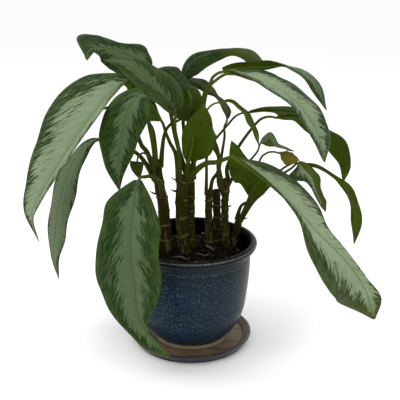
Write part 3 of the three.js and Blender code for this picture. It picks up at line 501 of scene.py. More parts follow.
class Graph:
    """Short calls for building a node material; colours are given in thousandths."""

    def __init__(self, name, roughness=0.5, specular=0.5):
        self.material = bpy.data.materials.new(name)
        self.material.use_nodes = True
        self.tree = self.material.node_tree
        self.shader = self.tree.nodes["Principled BSDF"]
        self.shader.inputs["Roughness"].default_value = roughness
        self.shader.inputs["Specular IOR Level"].default_value = specular

    def put(self, socket, value):
        if isinstance(value, bpy.types.NodeSocket):
            self.tree.links.new(value, socket)
        elif isinstance(value, tuple):
            socket.default_value = (*(part / 1000 for part in value), 1)
        else:
            socket.default_value = value

    def node(self, kind, inputs, **settings):
        """The outputs of a new node with these settings; its inputs go by name or number."""
        made = self.tree.nodes.new("ShaderNode" + kind)
        for key, value in settings.items():
            setattr(made, key, value)
        for key, value in inputs.items():
            self.put(made.inputs[key], value)
        return made.outputs

    def math(self, operation, a, b=0.0, c=0.0, clamp=False):
        return self.node("Math", {0: a, 1: b, 2: c}, operation=operation, use_clamp=clamp)[0]

    def times(self, a, b):
        return self.math("MULTIPLY", a, b)

    def less(self, a, b):
        return self.math("SUBTRACT", a, b)

    def scaled(self, value, factor, offset):
        return self.math("MULTIPLY_ADD", value, factor, offset)

    def swayed(self, value, noise, amount):
        """The value, pushed to and fro by a noise with a mean of a half."""
        return self.scaled(self.less(noise, 0.5), amount, value)

    def vector(self, x, y, z):
        return self.node("CombineXYZ", {0: x, 1: y, 2: z})[0]

    def split(self, value):
        return self.node("SeparateXYZ", {0: value})

    def attribute(self, name, output="Fac"):
        return self.node("Attribute", {}, attribute_name=name)[output]

    def position(self):
        return self.node("TexCoord", {})["Object"]

    def noise(self, where, scale, detail=2.0, rough=0.5, warp=0.0):
        amounts = {"Scale": scale, "Detail": detail, "Roughness": rough, "Distortion": warp}
        return self.node("TexNoise", {"Vector": where, **amounts})["Fac"]

    def ramp(self, value, low, high):
        """From 0 at `low` to 1 at `high`, smooth in between; `low` may be the larger."""
        rising = low < high
        reach = {"From Min": min(low, high), "From Max": max(low, high)}
        goal = {"To Min": float(not rising), "To Max": float(rising)}
        inputs = {"Value": value, **reach, **goal}
        return self.node("MapRange", inputs, interpolation_type="SMOOTHSTEP")["Result"]

    def between(self, value, low, full, falling, high):
        """1 from `full` to `falling`, 0 below `low` and above `high`."""
        return self.times(self.ramp(value, low, full), self.ramp(value, high, falling))

    def mix(self, share, a, b, blend="MIX"):
        return self.node("Mix", {0: share, 6: a, 7: b}, data_type="RGBA", blend_type=blend)[2]

    def tint(self, base, color, share, most):
        """The base, with up to `most` of the colour where the share is high."""
        return self.mix(self.times(share, most), base, color)

    def finish(self, color, bump=None, rough=None):
        """Put the colour on the shader, and a bump (height, strength, distance) and roughness."""
        self.put(self.shader.inputs["Base Color"], color)
        if bump:
            inputs = dict(zip(("Height", "Strength", "Distance"), bump))
            self.put(self.shader.inputs["Normal"], self.node("Bump", inputs)[0])
        if rough:
            self.put(self.shader.inputs["Roughness"], rough)
        return self.material


def vein_noise(graph, place, along, outward, shift, detail=2.0):
    """Noise stretched along the side veins; `along` and `outward` set how fine it is each way."""
    vein, out, seed = place
    x = graph.times(vein, along)
    y = graph.times(out, outward)
    z = graph.math("ADD", seed, shift)
    return graph.noise(graph.vector(x, y, z), 1.0, detail, 0.6)


def side_veins(graph, vein):
    """Fine lines halfway between whole numbers of `vein`."""
    from_line = graph.math("ABSOLUTE", graph.less(graph.math("FRACT", vein), 0.5))
    return graph.ramp(from_line, 0.07, 0.0)


def leaf_green(graph, pale, across, beyond, strokes, dashes):
    """The green outside the silvery middle, with dark dashes and a lighter margin."""
    ground = graph.mix(pale, (25, 55, 6), (62, 92, 34))
    deep = graph.mix(pale, (7, 22, 3), (18, 36, 11))
    margin = graph.ramp(graph.scaled(strokes, 0.3, across), 0.90, 1.14)
    ground = graph.tint(ground, (50, 86, 18), margin, 0.5)
    thin_out = graph.scaled(beyond, 0.28, 0.36)
    dash = graph.ramp(graph.less(dashes, thin_out), 0.0, 0.08)
    return graph.mix(dash, ground, deep)


def leaf_silver(graph, pale, across, fine, dashes):
    """The silvery middle, with duller streaks and specks."""
    silvery = graph.mix(pale, (43, 75, 21), (268, 336, 212))
    dull = graph.mix(pale, (20, 44, 7), (80, 116, 45))
    specks = graph.times(graph.ramp(dashes, 0.55, 0.64), graph.ramp(across, 0.12, 0.55))
    shade = graph.math("MULTIPLY_ADD", graph.ramp(fine, 0.58, 0.44), 0.25, specks, clamp=True)
    return graph.tint(silvery, dull, shade, 0.85)


def beyond_silver(graph, place, cover, across, t, strokes, fine):
    """How far a point lies outside the ragged edge of the silvery middle."""
    patches = vein_noise(graph, place, 0.45, 0.4, 9.0)
    edge = graph.swayed(across, strokes, 1.2)
    edge = graph.swayed(edge, fine, 0.8)
    edge = graph.swayed(edge, patches, 0.8)
    ends = graph.between(t, -0.05, 0.22, 0.72, 1.02)
    return graph.less(edge, graph.times(cover, graph.scaled(ends, 0.75, 0.25)))


def upper_leaf():
    graph = Graph("leaf_upper", specular=0.07)
    u, t, _ = graph.split(graph.node("UVMap", {}, uv_map="blade")[0])
    across = graph.math("ABSOLUTE", graph.scaled(u, 2.0, -1.0))
    place = graph.split(graph.attribute("vein", "Vector"))
    pale, light, yellow = graph.split(graph.attribute("tone", "Vector"))
    cover = graph.attribute("cover")
    vein, out, _ = place
    strokes = vein_noise(graph, place, 2.8, 0.60, 0.0)
    fine = vein_noise(graph, place, 7.0, 1.4, 3.0, 3.0)
    dashes = vein_noise(graph, place, 4.2, 1.1, 6.0)
    beyond = beyond_silver(graph, place, cover, across, t, strokes, fine)
    green = leaf_green(graph, pale, across, beyond, strokes, dashes)
    silver = leaf_silver(graph, pale, across, fine, dashes)
    base = graph.mix(graph.ramp(beyond, 0.05, -0.05), green, silver)
    base = graph.tint(base, (34, 62, 12), graph.ramp(out, 0.16, 0.05), 0.4)
    side = side_veins(graph, vein)
    base = graph.tint(base, (34, 70, 16), side, 0.16)
    base = graph.tint(base, (64, 94, 14), graph.ramp(t, 0.84, 1.0), 0.6)
    base = graph.mix(graph.ramp(t, 0.968, 0.996), base, (60, 40, 12))
    olive = graph.mix(strokes, (34, 58, 4), (70, 104, 10))
    base = graph.mix(graph.ramp(cover, 0.0, -0.1), base, olive)
    blotch = graph.ramp(graph.noise(graph.vector(*place), 1.3, 3.0, 0.6), 0.62, 0.72)
    yellowed = graph.mix(blotch, (130, 105, 8), (50, 24, 6))
    base = graph.mix(yellow, base, yellowed)
    bump = (graph.scaled(side, -0.5, fine), 0.3, 0.0008)
    rough = graph.scaled(fine, 0.25, 0.36)
    # painted shade: the whole upper side is darkened by the leaf's light value, partly its own green and
    # partly the shade it lies in
    base = graph.mix(1.0, base, graph.vector(light, light, light), "MULTIPLY")
    return graph.finish(base, bump, rough)


def under_leaf():
    graph = Graph("leaf_under", roughness=0.6, specular=0.03)
    place = graph.split(graph.attribute("vein", "Vector"))
    _, light, yellow = graph.split(graph.attribute("tone", "Vector"))
    vein, out, _ = place
    streaks = vein_noise(graph, place, 3.0, 0.5, 0.0)
    patches = vein_noise(graph, place, 0.4, 0.4, 5.0)
    base = graph.mix(graph.ramp(streaks, 0.35, 0.65), (34, 62, 3), (60, 94, 5))
    base = graph.tint(base, (80, 120, 12), graph.ramp(patches, 0.5, 0.7), 0.5)
    base = graph.tint(base, (90, 125, 18), graph.ramp(out, 0.3, 0.1), 0.4)
    side = side_veins(graph, vein)
    base = graph.tint(base, (90, 130, 18), side, 0.2)
    base = graph.tint(base, (120, 95, 8), yellow, 0.9)
    bump = (side, 0.3, 0.0006)
    # painted shade: the whole under side is darkened by the leaf's light value, partly its own green and
    # partly the shade it lies in
    base = graph.mix(1.0, base, graph.vector(light, light, light), "MULTIPLY")
    return graph.finish(base, bump)


def leaf_stalk():
    graph = Graph("leaf_stalk", roughness=0.55, specular=0.04)
    along = graph.attribute("along")
    grain = graph.noise(graph.position(), 140.0, 3.0, 0.6)
    base = graph.mix(graph.ramp(along, 0.0, 0.25), (40, 34, 5), (42, 58, 3))
    base = graph.mix(graph.ramp(along, 0.8, 1.0), base, (66, 98, 8))
    bump = (grain, 0.2, 0.0006)
    base = graph.tint(base, (85, 90, 16), graph.ramp(grain, 0.5, 0.7), 0.4)
    return graph.finish(base, bump)


def cane_bark():
    graph = Graph("cane_bark", roughness=0.75, specular=0.04)
    where = graph.position()
    x, y, z = graph.split(where)
    grain = graph.noise(where, 110.0, 4.0, 0.65)
    drips = graph.vector(graph.times(x, 5.0), graph.times(y, 5.0), z)
    patch = graph.noise(drips, 26.0, 3.0, 0.6, 0.4)
    green = graph.mix(grain, (8, 11, 1), (43, 50, 4))
    brown = graph.mix(grain, (9, 6, 1), (42, 30, 6))
    share = graph.math("ADD", graph.attribute("bark"), graph.scaled(patch, 1.6, -0.8), clamp=True)
    base = graph.mix(share, green, brown)
    low = graph.scaled(graph.ramp(z, 0.235, 0.175), 0.5, 0.2)
    worn = graph.times(graph.ramp(patch, 0.54, 0.66), low)
    base = graph.mix(worn, base, (150, 125, 50))
    ring = graph.times(graph.attribute("scar"), graph.ramp(graph.noise(where, 90.0), 0.42, 0.58))
    base = graph.tint(base, (150, 140, 45), ring, 0.8)
    bump = (graph.math("ADD", grain, patch), 0.5, 0.0012)
    return graph.finish(graph.mix(graph.attribute("dry"), base, (26, 18, 7)), bump)


def pot_edges(graph, base, where, z, mottle):
    """A speckled line under the rim, the near black lip and a light line on the crest of the rim, partly
    thin glaze and partly a painted highlight.
    """
    wobble = graph.scaled(graph.noise(where, 60.0), 0.010, z)
    line = graph.between(wobble, 0.1575, 0.1610, 0.1625, 0.1655)
    line = graph.times(line, graph.ramp(mottle, 0.45, 0.6))
    base = graph.tint(base, (150, 190, 200), line, 0.35)
    lip = graph.mix(graph.ramp(mottle, 0.4, 0.65), (1, 1, 2), (9, 10, 11))
    base = graph.mix(graph.ramp(wobble, 0.1765, 0.1800), base, lip)
    # the light crest line: partly glaze thinning over the edge, partly a painted highlight
    crest = graph.between(z, 0.1772, 0.1786, 0.1794, 0.1808)
    crest = graph.times(crest, graph.ramp(mottle, 0.38, 0.55))
    return graph.tint(base, (150, 162, 160), crest, 0.8)


def pot_glaze():
    graph = Graph("pot_glaze", roughness=0.3, specular=0.09)
    where = graph.position()
    x, _, z = graph.split(where)
    cells = graph.node("TexVoronoi", {"Vector": where, "Scale": 820.0})["Color"]
    red, green, _ = graph.split(cells)
    cloud = graph.noise(where, 22.0, 3.0, 0.55)
    mottle = graph.noise(where, 520.0, 3.0, 0.7)
    base = graph.mix(graph.ramp(cloud, 0.3, 0.7), (1, 9, 33), (2, 9, 20))
    base = graph.mix(graph.ramp(mottle, 0.44, 0.60), base, (8, 24, 40))
    specks = graph.times(graph.ramp(red, 0.70, 0.9), graph.ramp(mottle, 0.35, 0.6))
    base = graph.tint(base, (110, 150, 170), specks, 0.65)
    # painted reflection: the glaze turns greyer and lighter towards +x, the side that catches the light
    base = graph.tint(base, (24, 29, 34), graph.ramp(x, -0.030, 0.095), 0.4)
    # painted reflection: a warm brown sheen in the speckles towards +x, standing in for a brown surface
    # mirrored in the glaze
    painted_brown_reflection = graph.times(graph.ramp(green, 0.4, 0.8), graph.ramp(x, 0.056, 0.094))
    base = graph.tint(base, (76, 46, 38), painted_brown_reflection, 0.6)
    base = graph.tint(base, (8, 12, 13), graph.ramp(z, 0.120, 0.168), 0.75)
    base = pot_edges(graph, base, where, z, mottle)
    inside = graph.attribute("inside")
    # near black inside the pot: a dark glaze with the shade of the hollow painted in
    base = graph.mix(inside, base, (1, 1, 1))
    bare = graph.ramp(graph.scaled(graph.noise(where, 90.0), 0.003, z), 0.0160, 0.0148)
    bare = graph.times(bare, graph.less(1.0, inside))
    clay = graph.mix(graph.noise(where, 300.0, 3.0), (240, 190, 125), (400, 330, 230))
    bump = (graph.math("ADD", mottle, graph.times(specks, 0.3)), 0.18, 0.0010)
    rough = graph.scaled(bare, 0.5, graph.scaled(mottle, 0.22, 0.2))
    return graph.finish(graph.mix(bare, base, clay), bump, rough)


def pot_inside():
    graph = Graph("pot_inside", roughness=0.35, specular=0.01)
    # painted shade: near black, the dark glaze with the shade of the hollow painted in
    return graph.finish((1, 1, 1))


def saucer_glaze():
    graph = Graph("saucer_glaze", roughness=0.4, specular=0.45)
    where = graph.position()
    x, y, z = graph.split(where)
    cloud = graph.noise(where, 30.0, 4.0, 0.6)
    mottle = graph.noise(where, 260.0, 3.0, 0.7)
    dark = graph.mix(graph.ramp(mottle, 0.45, 0.6), (4, 6, 12), (22, 23, 28))
    stains = graph.noise(graph.vector(graph.times(x, 0.4), y, z), 60.0, 4.0, 0.65)
    clay = graph.mix(graph.ramp(stains, 0.35, 0.65), (88, 58, 31), (205, 148, 90))
    clay = graph.tint(clay, (80, 55, 38), graph.ramp(cloud, 0.5, 0.7), 0.4)
    wobble = graph.swayed(graph.attribute("inside"), cloud, 0.5)
    share = graph.ramp(wobble, 0.4, 0.6)
    bump = (mottle, 0.2, 0.0008)
    rough = graph.scaled(share, 0.3, 0.3)
    return graph.finish(graph.mix(share, dark, clay), bump, rough)


def potting_soil():
    graph = Graph("potting_soil", roughness=0.95, specular=0.02)
    where = graph.position()
    x, y, _ = graph.split(where)
    grain = graph.noise(where, 210.0, 5.0, 0.7)
    clods = graph.noise(where, 55.0, 3.0, 0.6)
    base = graph.mix(graph.ramp(grain, 0.35, 0.75), (3, 2, 1), (18, 13, 8))
    base = graph.tint(base, (22, 16, 10), graph.ramp(clods, 0.55, 0.7), 0.5)
    reach = graph.math("SQRT", graph.scaled(x, x, graph.times(y, y)))
    bump = (graph.math("ADD", grain, clods), 1.0, 0.003)
    # painted shade: the soil goes near black towards the pot wall, in the shade of the rim
    base = graph.mix(graph.ramp(reach, 0.062, 0.082), base, (2, 2, 1.5))
    return graph.finish(base, bump)


def soil_bits():
    graph = Graph("soil_bits", roughness=0.85, specular=0.05)
    grain = graph.noise(graph.position(), 260.0, 3.0, 0.6)
    dark = graph.mix(grain, (6, 4, 2), (30, 20, 12))
    light = graph.mix(grain, (130, 100, 65), (280, 240, 170))
    bump = (grain, 0.5, 0.001)
    return graph.finish(graph.mix(graph.attribute("kind"), dark, light), bump)


# ---- pot, saucer and soil ----


def ring(radius, height):
    """Points round the axis at a radius and a height, or at each point's own height."""
    turn = circle(TURNED_SEGMENTS)
    return np.stack([radius * np.cos(turn), radius * np.sin(turn), height + 0 * turn], 1)


def turned(name, outline, materials, inside):
    """A smooth turned body from [radius, height] points; a second material lines its inside."""
    loop = np.array([(r, 0, z) for r, z in outline], float)
    spans = len(loop) - 1
    rounded = spline(loop, np.linspace(0, spans, spans * TURNED_STEPS + 1))
    rounded[:, 0] = np.maximum(rounded[:, 0], 0.0)
    rounded[:, 2] = np.maximum(rounded[:, 2], loop[:, 2].min())
    closed = np.allclose(loop[0], loop[-1])
    if closed:
        rounded = rounded[:-1]
    rows = len(rounded)
    if closed:
        faces = grid_faces(rows, TURNED_SEGMENTS, wrap=True, flip=True)
        last = (rows - 1) * TURNED_SEGMENTS
        for j in range(TURNED_SEGMENTS):
            k = (j + 1) % TURNED_SEGMENTS
            faces.append((last + j, last + k, k, j))
    else:
        faces = stack_faces(rows, TURNED_SEGMENTS)
    share = [inside(r, z) for r, _, z in rounded]
    lined = 0
    if len(materials) > 1:
        lined = [int(min(share[i], share[(i + 1) % rows]) > 0.5) for i in range(rows)]
        lined = np.repeat(lined, TURNED_SEGMENTS)
    shape = Shape()
    points = [ring(r, z) for r, _, z in rounded]
    shape.add(points, faces, lined, inside=np.repeat(share, TURNED_SEGMENTS))
    return shape.build(name, materials)


def make_pot():
    outline = [
        (DRAIN_RADIUS, STAND + 3), (FOOT_RADIUS - 9, STAND + 3), (FOOT_RADIUS - 7, STAND),
        (FOOT_RADIUS, STAND), (FOOT_RADIUS + 1, STAND + 7), (66.5, 17.5), (74, 26), (83.5, 42), (91, 63),
        (95.5, 95), (98.5, 125), (99.4, 148), (99.2, 156), (98.6, 159), (99.6, 161.5), (100.4, 164),
        (101.5, RIM_TOP - 14), (105, RIM_TOP - 12.5), (RIM_RADIUS - 2, RIM_TOP - 11),
        (RIM_RADIUS, RIM_TOP - 6), (RIM_RADIUS - 1, RIM_TOP - 2.5), (RIM_RADIUS - 3.5, RIM_TOP - 0.4),
        (RIM_RADIUS - 7, RIM_TOP), (RIM_RADIUS - RIM_WIDTH, RIM_TOP - 3), (POT_INNER + 1, RIM_TOP - 14),
        (POT_INNER, 130), (POT_INNER - 6, 80), (70, 36), (52, POT_FLOOR), (DRAIN_RADIUS, POT_FLOOR),
        (DRAIN_RADIUS, STAND + 3),
    ]
    heights = [17, 36, 63, 80, 95, 130, 164, 179, 182]
    middles = [59, 75, 86, 90, 92, 96, 97, 101, 102]

    def inside(radius, height):
        return float(height > POT_FLOOR - 1 and radius < np.interp(height, heights, middles))

    pot = turned("glazed_pot", outline, [pot_glaze(), pot_inside()], inside)
    settle(pot, "pot_glaze", "pot")


def make_saucer():
    outline = [
        (0, 0), (SAUCER_BASE - 2, 0), (SAUCER_BASE, 0), (SAUCER_BASE + 7, 3.5),
        (SAUCER_RADIUS - 1, SAUCER_HEIGHT - 4), (SAUCER_RADIUS, SAUCER_HEIGHT - 1.5),
        (SAUCER_RADIUS - 2.5, SAUCER_HEIGHT), (SAUCER_RADIUS - 5.5, SAUCER_HEIGHT - 1.5),
        (SAUCER_BASE, SAUCER_FLOOR + 2), (SAUCER_BASE - 8, SAUCER_FLOOR), (0, SAUCER_FLOOR),
    ]

    def inside(radius, height):
        return float(height > SAUCER_FLOOR - 0.3 and radius < SAUCER_RADIUS - 5)

    settle(turned("saucer_dish", outline, [saucer_glaze()], inside), "saucer_glaze", "saucer")


def soil_height(x, y):
    reach = np.hypot(x, y)
    mound = np.interp(reach, [0, 26, 52, 76, 92], [2.5, 2, 0.5, -3, -7])
    waves = 1.3 * np.sin(x * 0.23) * np.cos(y * 0.19 + 1) + 0.9 * np.sin(x * 0.51 + y * 0.37)
    waves += 0.8 * np.sin(x * 1.1 - y * 0.83) * np.sin(y * 1.3 + 0.6)
    return SOIL_TOP + mound + waves


def make_soil():
    rings = []
    for radius in np.linspace(0.5, SOIL_EDGE, SOIL_RINGS):
        lumps = rng.normal(0, 0.35, TURNED_SEGMENTS) * min(1.0, radius / 20)
        top = ring(radius, lumps)
        top[:, 2] += soil_height(top[:, 0], top[:, 1])
        rings.append(top)
    bottom = POT_FLOOR + GAP
    walls = [(SOIL_EDGE, 130), (SOIL_EDGE - 6, 80), (69, 36.5), (51, bottom), (0.5, bottom)]
    rings += [ring(radius, height) for radius, height in walls]
    shape = Shape()
    shape.add(rings, stack_faces(len(rings), TURNED_SEGMENTS, flip=False))
    settle(shape.build("potting_mix", [potting_soil()]), "potting_soil", "soil")


CHIP_FACES = [(0, 1, 3, 2), (4, 6, 7, 5), (0, 4, 5, 1), (2, 3, 7, 6), (0, 2, 6, 4), (1, 5, 7, 3)]


def chip(centre, size, flat):
    """An irregular flake: a turned, tilted, squashed box with its corners moved at random."""
    corners = np.array([(x, y, z) for x in (-1, 1) for y in (-1, 1) for z in (-1, 1)], float)
    corners *= np.array([size, size * rng.uniform(0.4, 0.8), size * flat])
    corners += rng.normal(0, size * 0.16, corners.shape)
    a, b = rng.uniform(0, 2 * np.pi), rng.uniform(-0.5, 0.5)
    spin = np.array([[math.cos(a), -math.sin(a), 0], [math.sin(a), math.cos(a), 0], [0, 0, 1]])
    tilt = np.array([[1, 0, 0], [0, math.cos(b), -math.sin(b)], [0, math.sin(b), math.cos(b)]])
    return corners @ tilt.T @ spin.T + centre


def add_strip(shape, knots, half):
    """A dried, curled strip of leaf sheath on the soil."""
    path = spline([(x, y, 0) for x, y in knots], np.linspace(0, len(knots) - 1, STRIP_ROWS))
    for i, (x, y, _) in enumerate(path):
        path[i, 2] = soil_height(x, y) + 1.6 + 0.8 * math.sin(i * 0.5)
    flatness = half * np.abs(np.cos(circle(STRIP_SIDES)))
    ends = np.sin(np.pi * (np.arange(STRIP_ROWS) + 0.6) / (STRIP_ROWS + 0.2))
    points, faces = tube(path, [flatness * width + 0.25 for width in ends], STRIP_SIDES)
    shape.add(points, faces, kind=np.full(len(points), 0.8))


def make_soil_bits():
    shape = Shape()
    feet = [(*cane["line"][0][:2], cane["radius"][0]) for cane in CANES.values()]
    for _ in range(SOIL_BITS):
        reach, angle = 82 * math.sqrt(rng.uniform()), rng.uniform(0, 2 * np.pi)
        x, y = reach * math.cos(angle), reach * math.sin(angle)
        size = rng.uniform(0.7, 2.6)
        if any(math.hypot(x - foot_x, y - foot_y) < radius + 2 for foot_x, foot_y, radius in feet):
            continue
        centre = np.array([x, y, soil_height(x, y) + 0.3 * size])
        pale = 0.8 if rng.uniform() < 0.05 else rng.uniform(0, 0.1)
        shape.add(chip(centre, size, rng.uniform(0.25, 0.7)), CHIP_FACES, kind=np.full(8, pale))
    add_strip(shape, [(24, 10), (30, -3), (38, -12)], 2.2)
    add_strip(shape, [(-30, -38), (-14, -44), (-2, -43)], 1.3)
    add_strip(shape, [(8, -30), (22, -33), (30, -29)], 1.2)
    settle(shape.build("soil_bits", [soil_bits()], smooth=False), "potting_soil")


# ---- canes ----


def cane_knots(cane):
    """Points of a cane's middle line, from its foot in the soil."""
    x, y, z = cane["line"][0]
    return [(x, y, z - CANE_DEPTH), *cane["line"]]


def cane_radius(cane, z):
    bottom = cane["line"][0][2]
    share = np.clip((z - bottom) / (cane["line"][-1][2] - bottom), 0, 1)
    lower, upper = cane["radius"]
    return lower + (upper - lower) * share


def cane_at(cane, height):
    """Middle and radius of a cane at a height."""
    knots = cane_knots(cane)
    points, _ = along_curve(knots, 0, len(knots) - 1, np.linspace(0, 1, CANE_SAMPLES))
    middle = np.array([np.interp(height, points[:, 2], points[:, k]) for k in range(3)])
    return middle, float(cane_radius(cane, middle[2]))


def heading(direction):
    angle = math.radians(direction)
    return np.array([math.cos(angle), math.sin(angle), 0])


def add_spur(shape, cane, height, direction, length):
    """A dried, ragged leaf base that stands off the cane."""
    middle, radius = cane_at(cane, height)
    reach = [0.4 * radius, radius + 0.45 * length, radius + length]
    out = heading(direction)
    line = [middle + out * r + np.array([0, 0, 0.14 * i * i * length]) for i, r in enumerate(reach)]
    path = spline(line, np.linspace(0, 2, SPUR_ROWS))
    radii = np.interp(np.linspace(0, 1, SPUR_ROWS), [0, 0.5, 1], [2.5, 1.4, 0.35])
    points, faces = tube(path, radii * rng.uniform(0.85, 1.15, SPUR_ROWS), SPUR_SIDES)
    dry = np.repeat(np.linspace(0.3, 1, SPUR_ROWS), SPUR_SIDES)
    shape.add(points, faces, bark=np.full(len(points), cane["bark"]), dry=dry)


def make_cane(name, cane, material):
    knots = cane_knots(cane)
    steps = 2 * max(3, round((knots[-1][2] - knots[0][2]) / cane["scars"] / 1.6))
    scars = np.arange(1, steps, 2) / steps
    shares = np.linspace(0, 1, CANE_ROWS)
    points, length = along_curve(knots, 0, len(knots) - 1, shares)
    turn = circle(CANE_SIDES)
    minor = np.sort(rng.uniform(0.1, 0.97, max(3, len(scars) // 2)))
    radii, scar = [], []
    for share, point in zip(shares, points):
        lean = 1.6 * np.sin(turn + 40 * share) / length
        ridge = sum(np.exp(-(((share + lean - s) * length / 2.0) ** 2)) for s in scars)
        groove = sum(np.exp(-(((share + lean - s) * length / 1.1 - 2.2) ** 2)) for s in scars)
        faint = sum(np.exp(-(((share - lean * 1.5 - s) * length / 0.9) ** 2)) for s in minor)
        bumps = 0.25 * np.sin(3 * turn + share * 31) + 0.18 * np.sin(5 * turn - share * 53)
        top = min(1.0, 0.55 + math.sqrt(max(0.0, 1 - share) * length / 9))
        relief = 0.95 * ridge - 0.35 * groove + 0.25 * faint + bumps
        radii.append((cane_radius(cane, point[2]) + relief) * top)
        scar.append(np.clip(0.9 * groove + 0.5 * faint, 0, 1))
    shape = Shape()
    rings, faces = tube(points, radii, CANE_SIDES)
    bark = np.full(len(rings), cane["bark"])
    shape.add(rings, faces, scar=np.concatenate(scar), bark=bark, dry=np.zeros(len(rings)))
    for spur in cane["spurs"]:
        add_spur(shape, cane, *spur)
    settle(shape.build(f"stem_{name}", [material]), "cane_bark", f"cane_{name}")


# ---- leaves ----


def plain_outline(t, widest, shoulder):
    """Share of a half-blade's width along t, from 0 at the base to 0 at the tip."""
    rise = np.sin(np.pi / 2 * np.clip(t / widest, 0, 1)) ** shoulder
    fall = (1 - np.clip((t - widest) / (1 - widest), 0, 1) ** 1.9) ** 1.15
    return np.where(t < widest, rise, fall)


def half_width(leaf, side, t):
    """Width of one half of the blade at t: from its stations, or from the plain outline."""
    if leaf["stations"]:
        widths = np.array(leaf["stations"][side], float)[:, None]
        return np.maximum(spline(widths, t * (len(widths) - 1))[:, 0], 0.4)
    return leaf["width"][side] * plain_outline(t, leaf["widest"], leaf["shoulder"])


def midrib(leaf, knots, shares):
    """Points along the midrib, the blade's upward and rightward directions there, its length."""
    points, length = along_curve(knots, len(leaf["stalk"]) + 1, len(knots) - 1, shares)
    along = tangents(points)
    t = shares[:, None]
    base = unit(np.array(leaf["face"][:3], float))
    tip = unit(np.array(leaf["face"][3:], float))
    up = base * (1 - t) + tip * t
    up = unit(up - along * np.sum(up * along, 1, keepdims=True))
    return points, up, np.cross(up, along), length


def blade_surface(leaf, shares, spine, phase):
    """The blade's middle surface, rows along the midrib and columns across it, and its half-widths."""
    points, up, right, _ = spine
    t = (0.006 + 0.986 * shares)[:, None]  # so that neither end comes to nothing
    u = ACROSS[None, :]
    reach = np.abs(u)

    def pick(pair):
        return np.where(u < 0, *pair)

    halves = [half_width(leaf, side, t[:, 0])[:, None] for side in (0, 1)]
    half = pick(halves)
    share = pick([width / width.max() for width in halves])
    fold = np.radians(pick(leaf["fold"][:2]) * (1 - t) + pick(leaf["fold"][2:]) * t)
    curl = leaf["curl"]
    out = half * (np.sin(fold) - np.sin(fold - curl * reach)) / curl
    rise = half * (np.cos(fold - curl * reach) - np.cos(fold)) / curl
    cycle = 2 * np.pi * (WAVES_ALONG * t + HALF_SHIFT * (u >= 0) + phase)
    wave = pick(leaf["waves"]) * reach**2 * np.sin(cycle) * np.minimum(1, 1.4 * share)
    place = points[:, None, :] + right[:, None, :] * (np.sign(u) * out)[..., None]
    return place + up[:, None, :] * (rise + wave)[..., None], half


def blade_sides(grid, reach, half, vein):
    """Upper and under side of the blade, pleated between the side veins and sunk at the midrib."""
    normals = unit(np.cross(np.gradient(grid, axis=0), np.gradient(grid, axis=1)))
    ridge = np.abs((vein % 1) - 0.5) * 2
    pleat = 0.42 * (1 - ridge**2) * np.clip(reach / 6, 0, 1) * np.clip((half - reach) / 5, 0, 1)
    groove = 0.35 * np.exp(-((reach / 1.3) ** 2)) * np.clip(half / 8, 0, 1)
    thick = BLADE_THICKNESS * (0.5 - 0.22 * ACROSS[None, :] ** 4)
    upper = grid + normals * (thick + pleat - groove)[..., None]
    under = grid - normals * (thick - pleat)[..., None]
    return np.stack([upper, under])


def edge_faces(rows, columns):
    """Faces round the blade's edge, between its upper side and the under side's later points."""
    count = rows * columns
    faces = []
    for i in range(rows - 1):
        a, b = i * columns, (i + 1) * columns
        faces.append((b, a, a + count, b + count))
        a, b = a + columns - 1, b + columns - 1
        faces.append((a, b, b + count, a + count))
    for j in range(columns - 1):
        faces.append((j, j + 1, j + 1 + count, j + count))
        a = (rows - 1) * columns + j
        faces.append((a + 1, a, a + count, a + 1 + count))
    return faces


def blade_values(leaf, number, shares, reach, vein):
    """What the leaf materials read at each point, for both sides of the blade."""
    place = np.stack([vein, reach / 10, np.full_like(vein, number * LEAF_SEED)], 2)
    place[..., 2] += np.where(ACROSS < 0, 0, HALF_SEED)
    silver, light, yellow = leaf["tone"]
    # the light value darkens the whole leaf: partly its own green, partly painted shade for leaves lying
    # in shadow
    tone = np.broadcast_to([silver, 0.7 + 0.6 * light, yellow], place.shape)
    cover = np.outer(1 - shares, np.where(ACROSS < 0, *leaf["cover"]))
    cover += np.outer(shares, np.where(ACROSS < 0, *leaf["cover_tip"]))
    vectors = {"vein": place.reshape(-1, 3), "tone": tone.reshape(-1, 3), "cover": cover.ravel()}
    return {key: np.concatenate([value, value]) for key, value in vectors.items()}


def make_leaf(number, name, leaf, materials):
    cane, direction, height = leaf["at"]
    middle, radius = cane_at(CANES[cane], height)
    start = middle + 0.75 * radius * heading(direction)
    knots = [start, *leaf["stalk"], *leaf["blade"]]
    width = sum(half_width(leaf, side, np.linspace(0.1, 0.9, 9)).max() for side in (0, 1))
    rows, spacing = (84, 11.0) if width > LARGE_BLADE else (48, 7.0)
    shares = np.linspace(0, 1, rows)
    spine = midrib(leaf, knots, shares)
    grid, half = blade_surface(leaf, shares, spine, WAVE_SHIFT * number)
    reach = np.abs(ACROSS)[None, :] * half
    sweep = 1.1 * reach + 0.012 * reach**2
    vein = (shares[:, None] * spine[-1] - sweep) / spacing
    columns = len(ACROSS)
    top = grid_faces(rows, columns)
    under = grid_faces(rows, columns, start=rows * columns, flip=True)
    edge = edge_faces(rows, columns)
    numbers = [0] * len(top) + [1] * len(under) + [0] * len(edge)
    uv = np.tile(np.stack(np.meshgrid(ACROSS * 0.5 + 0.5, shares), 2), (2, 1, 1))
    values = blade_values(leaf, number, shares, reach, vein)
    shape = Shape()
    shape.add(blade_sides(grid, reach, half, vein), top + under + edge, numbers, uv, **values)
    add_stalk(shape, leaf, knots, spine)
    slot = "leaf_yellow" if name == "yellowing" else "leaf_green"
    settle(shape.build(f"foliage_{name}", materials), slot, f"leaf_{name}")


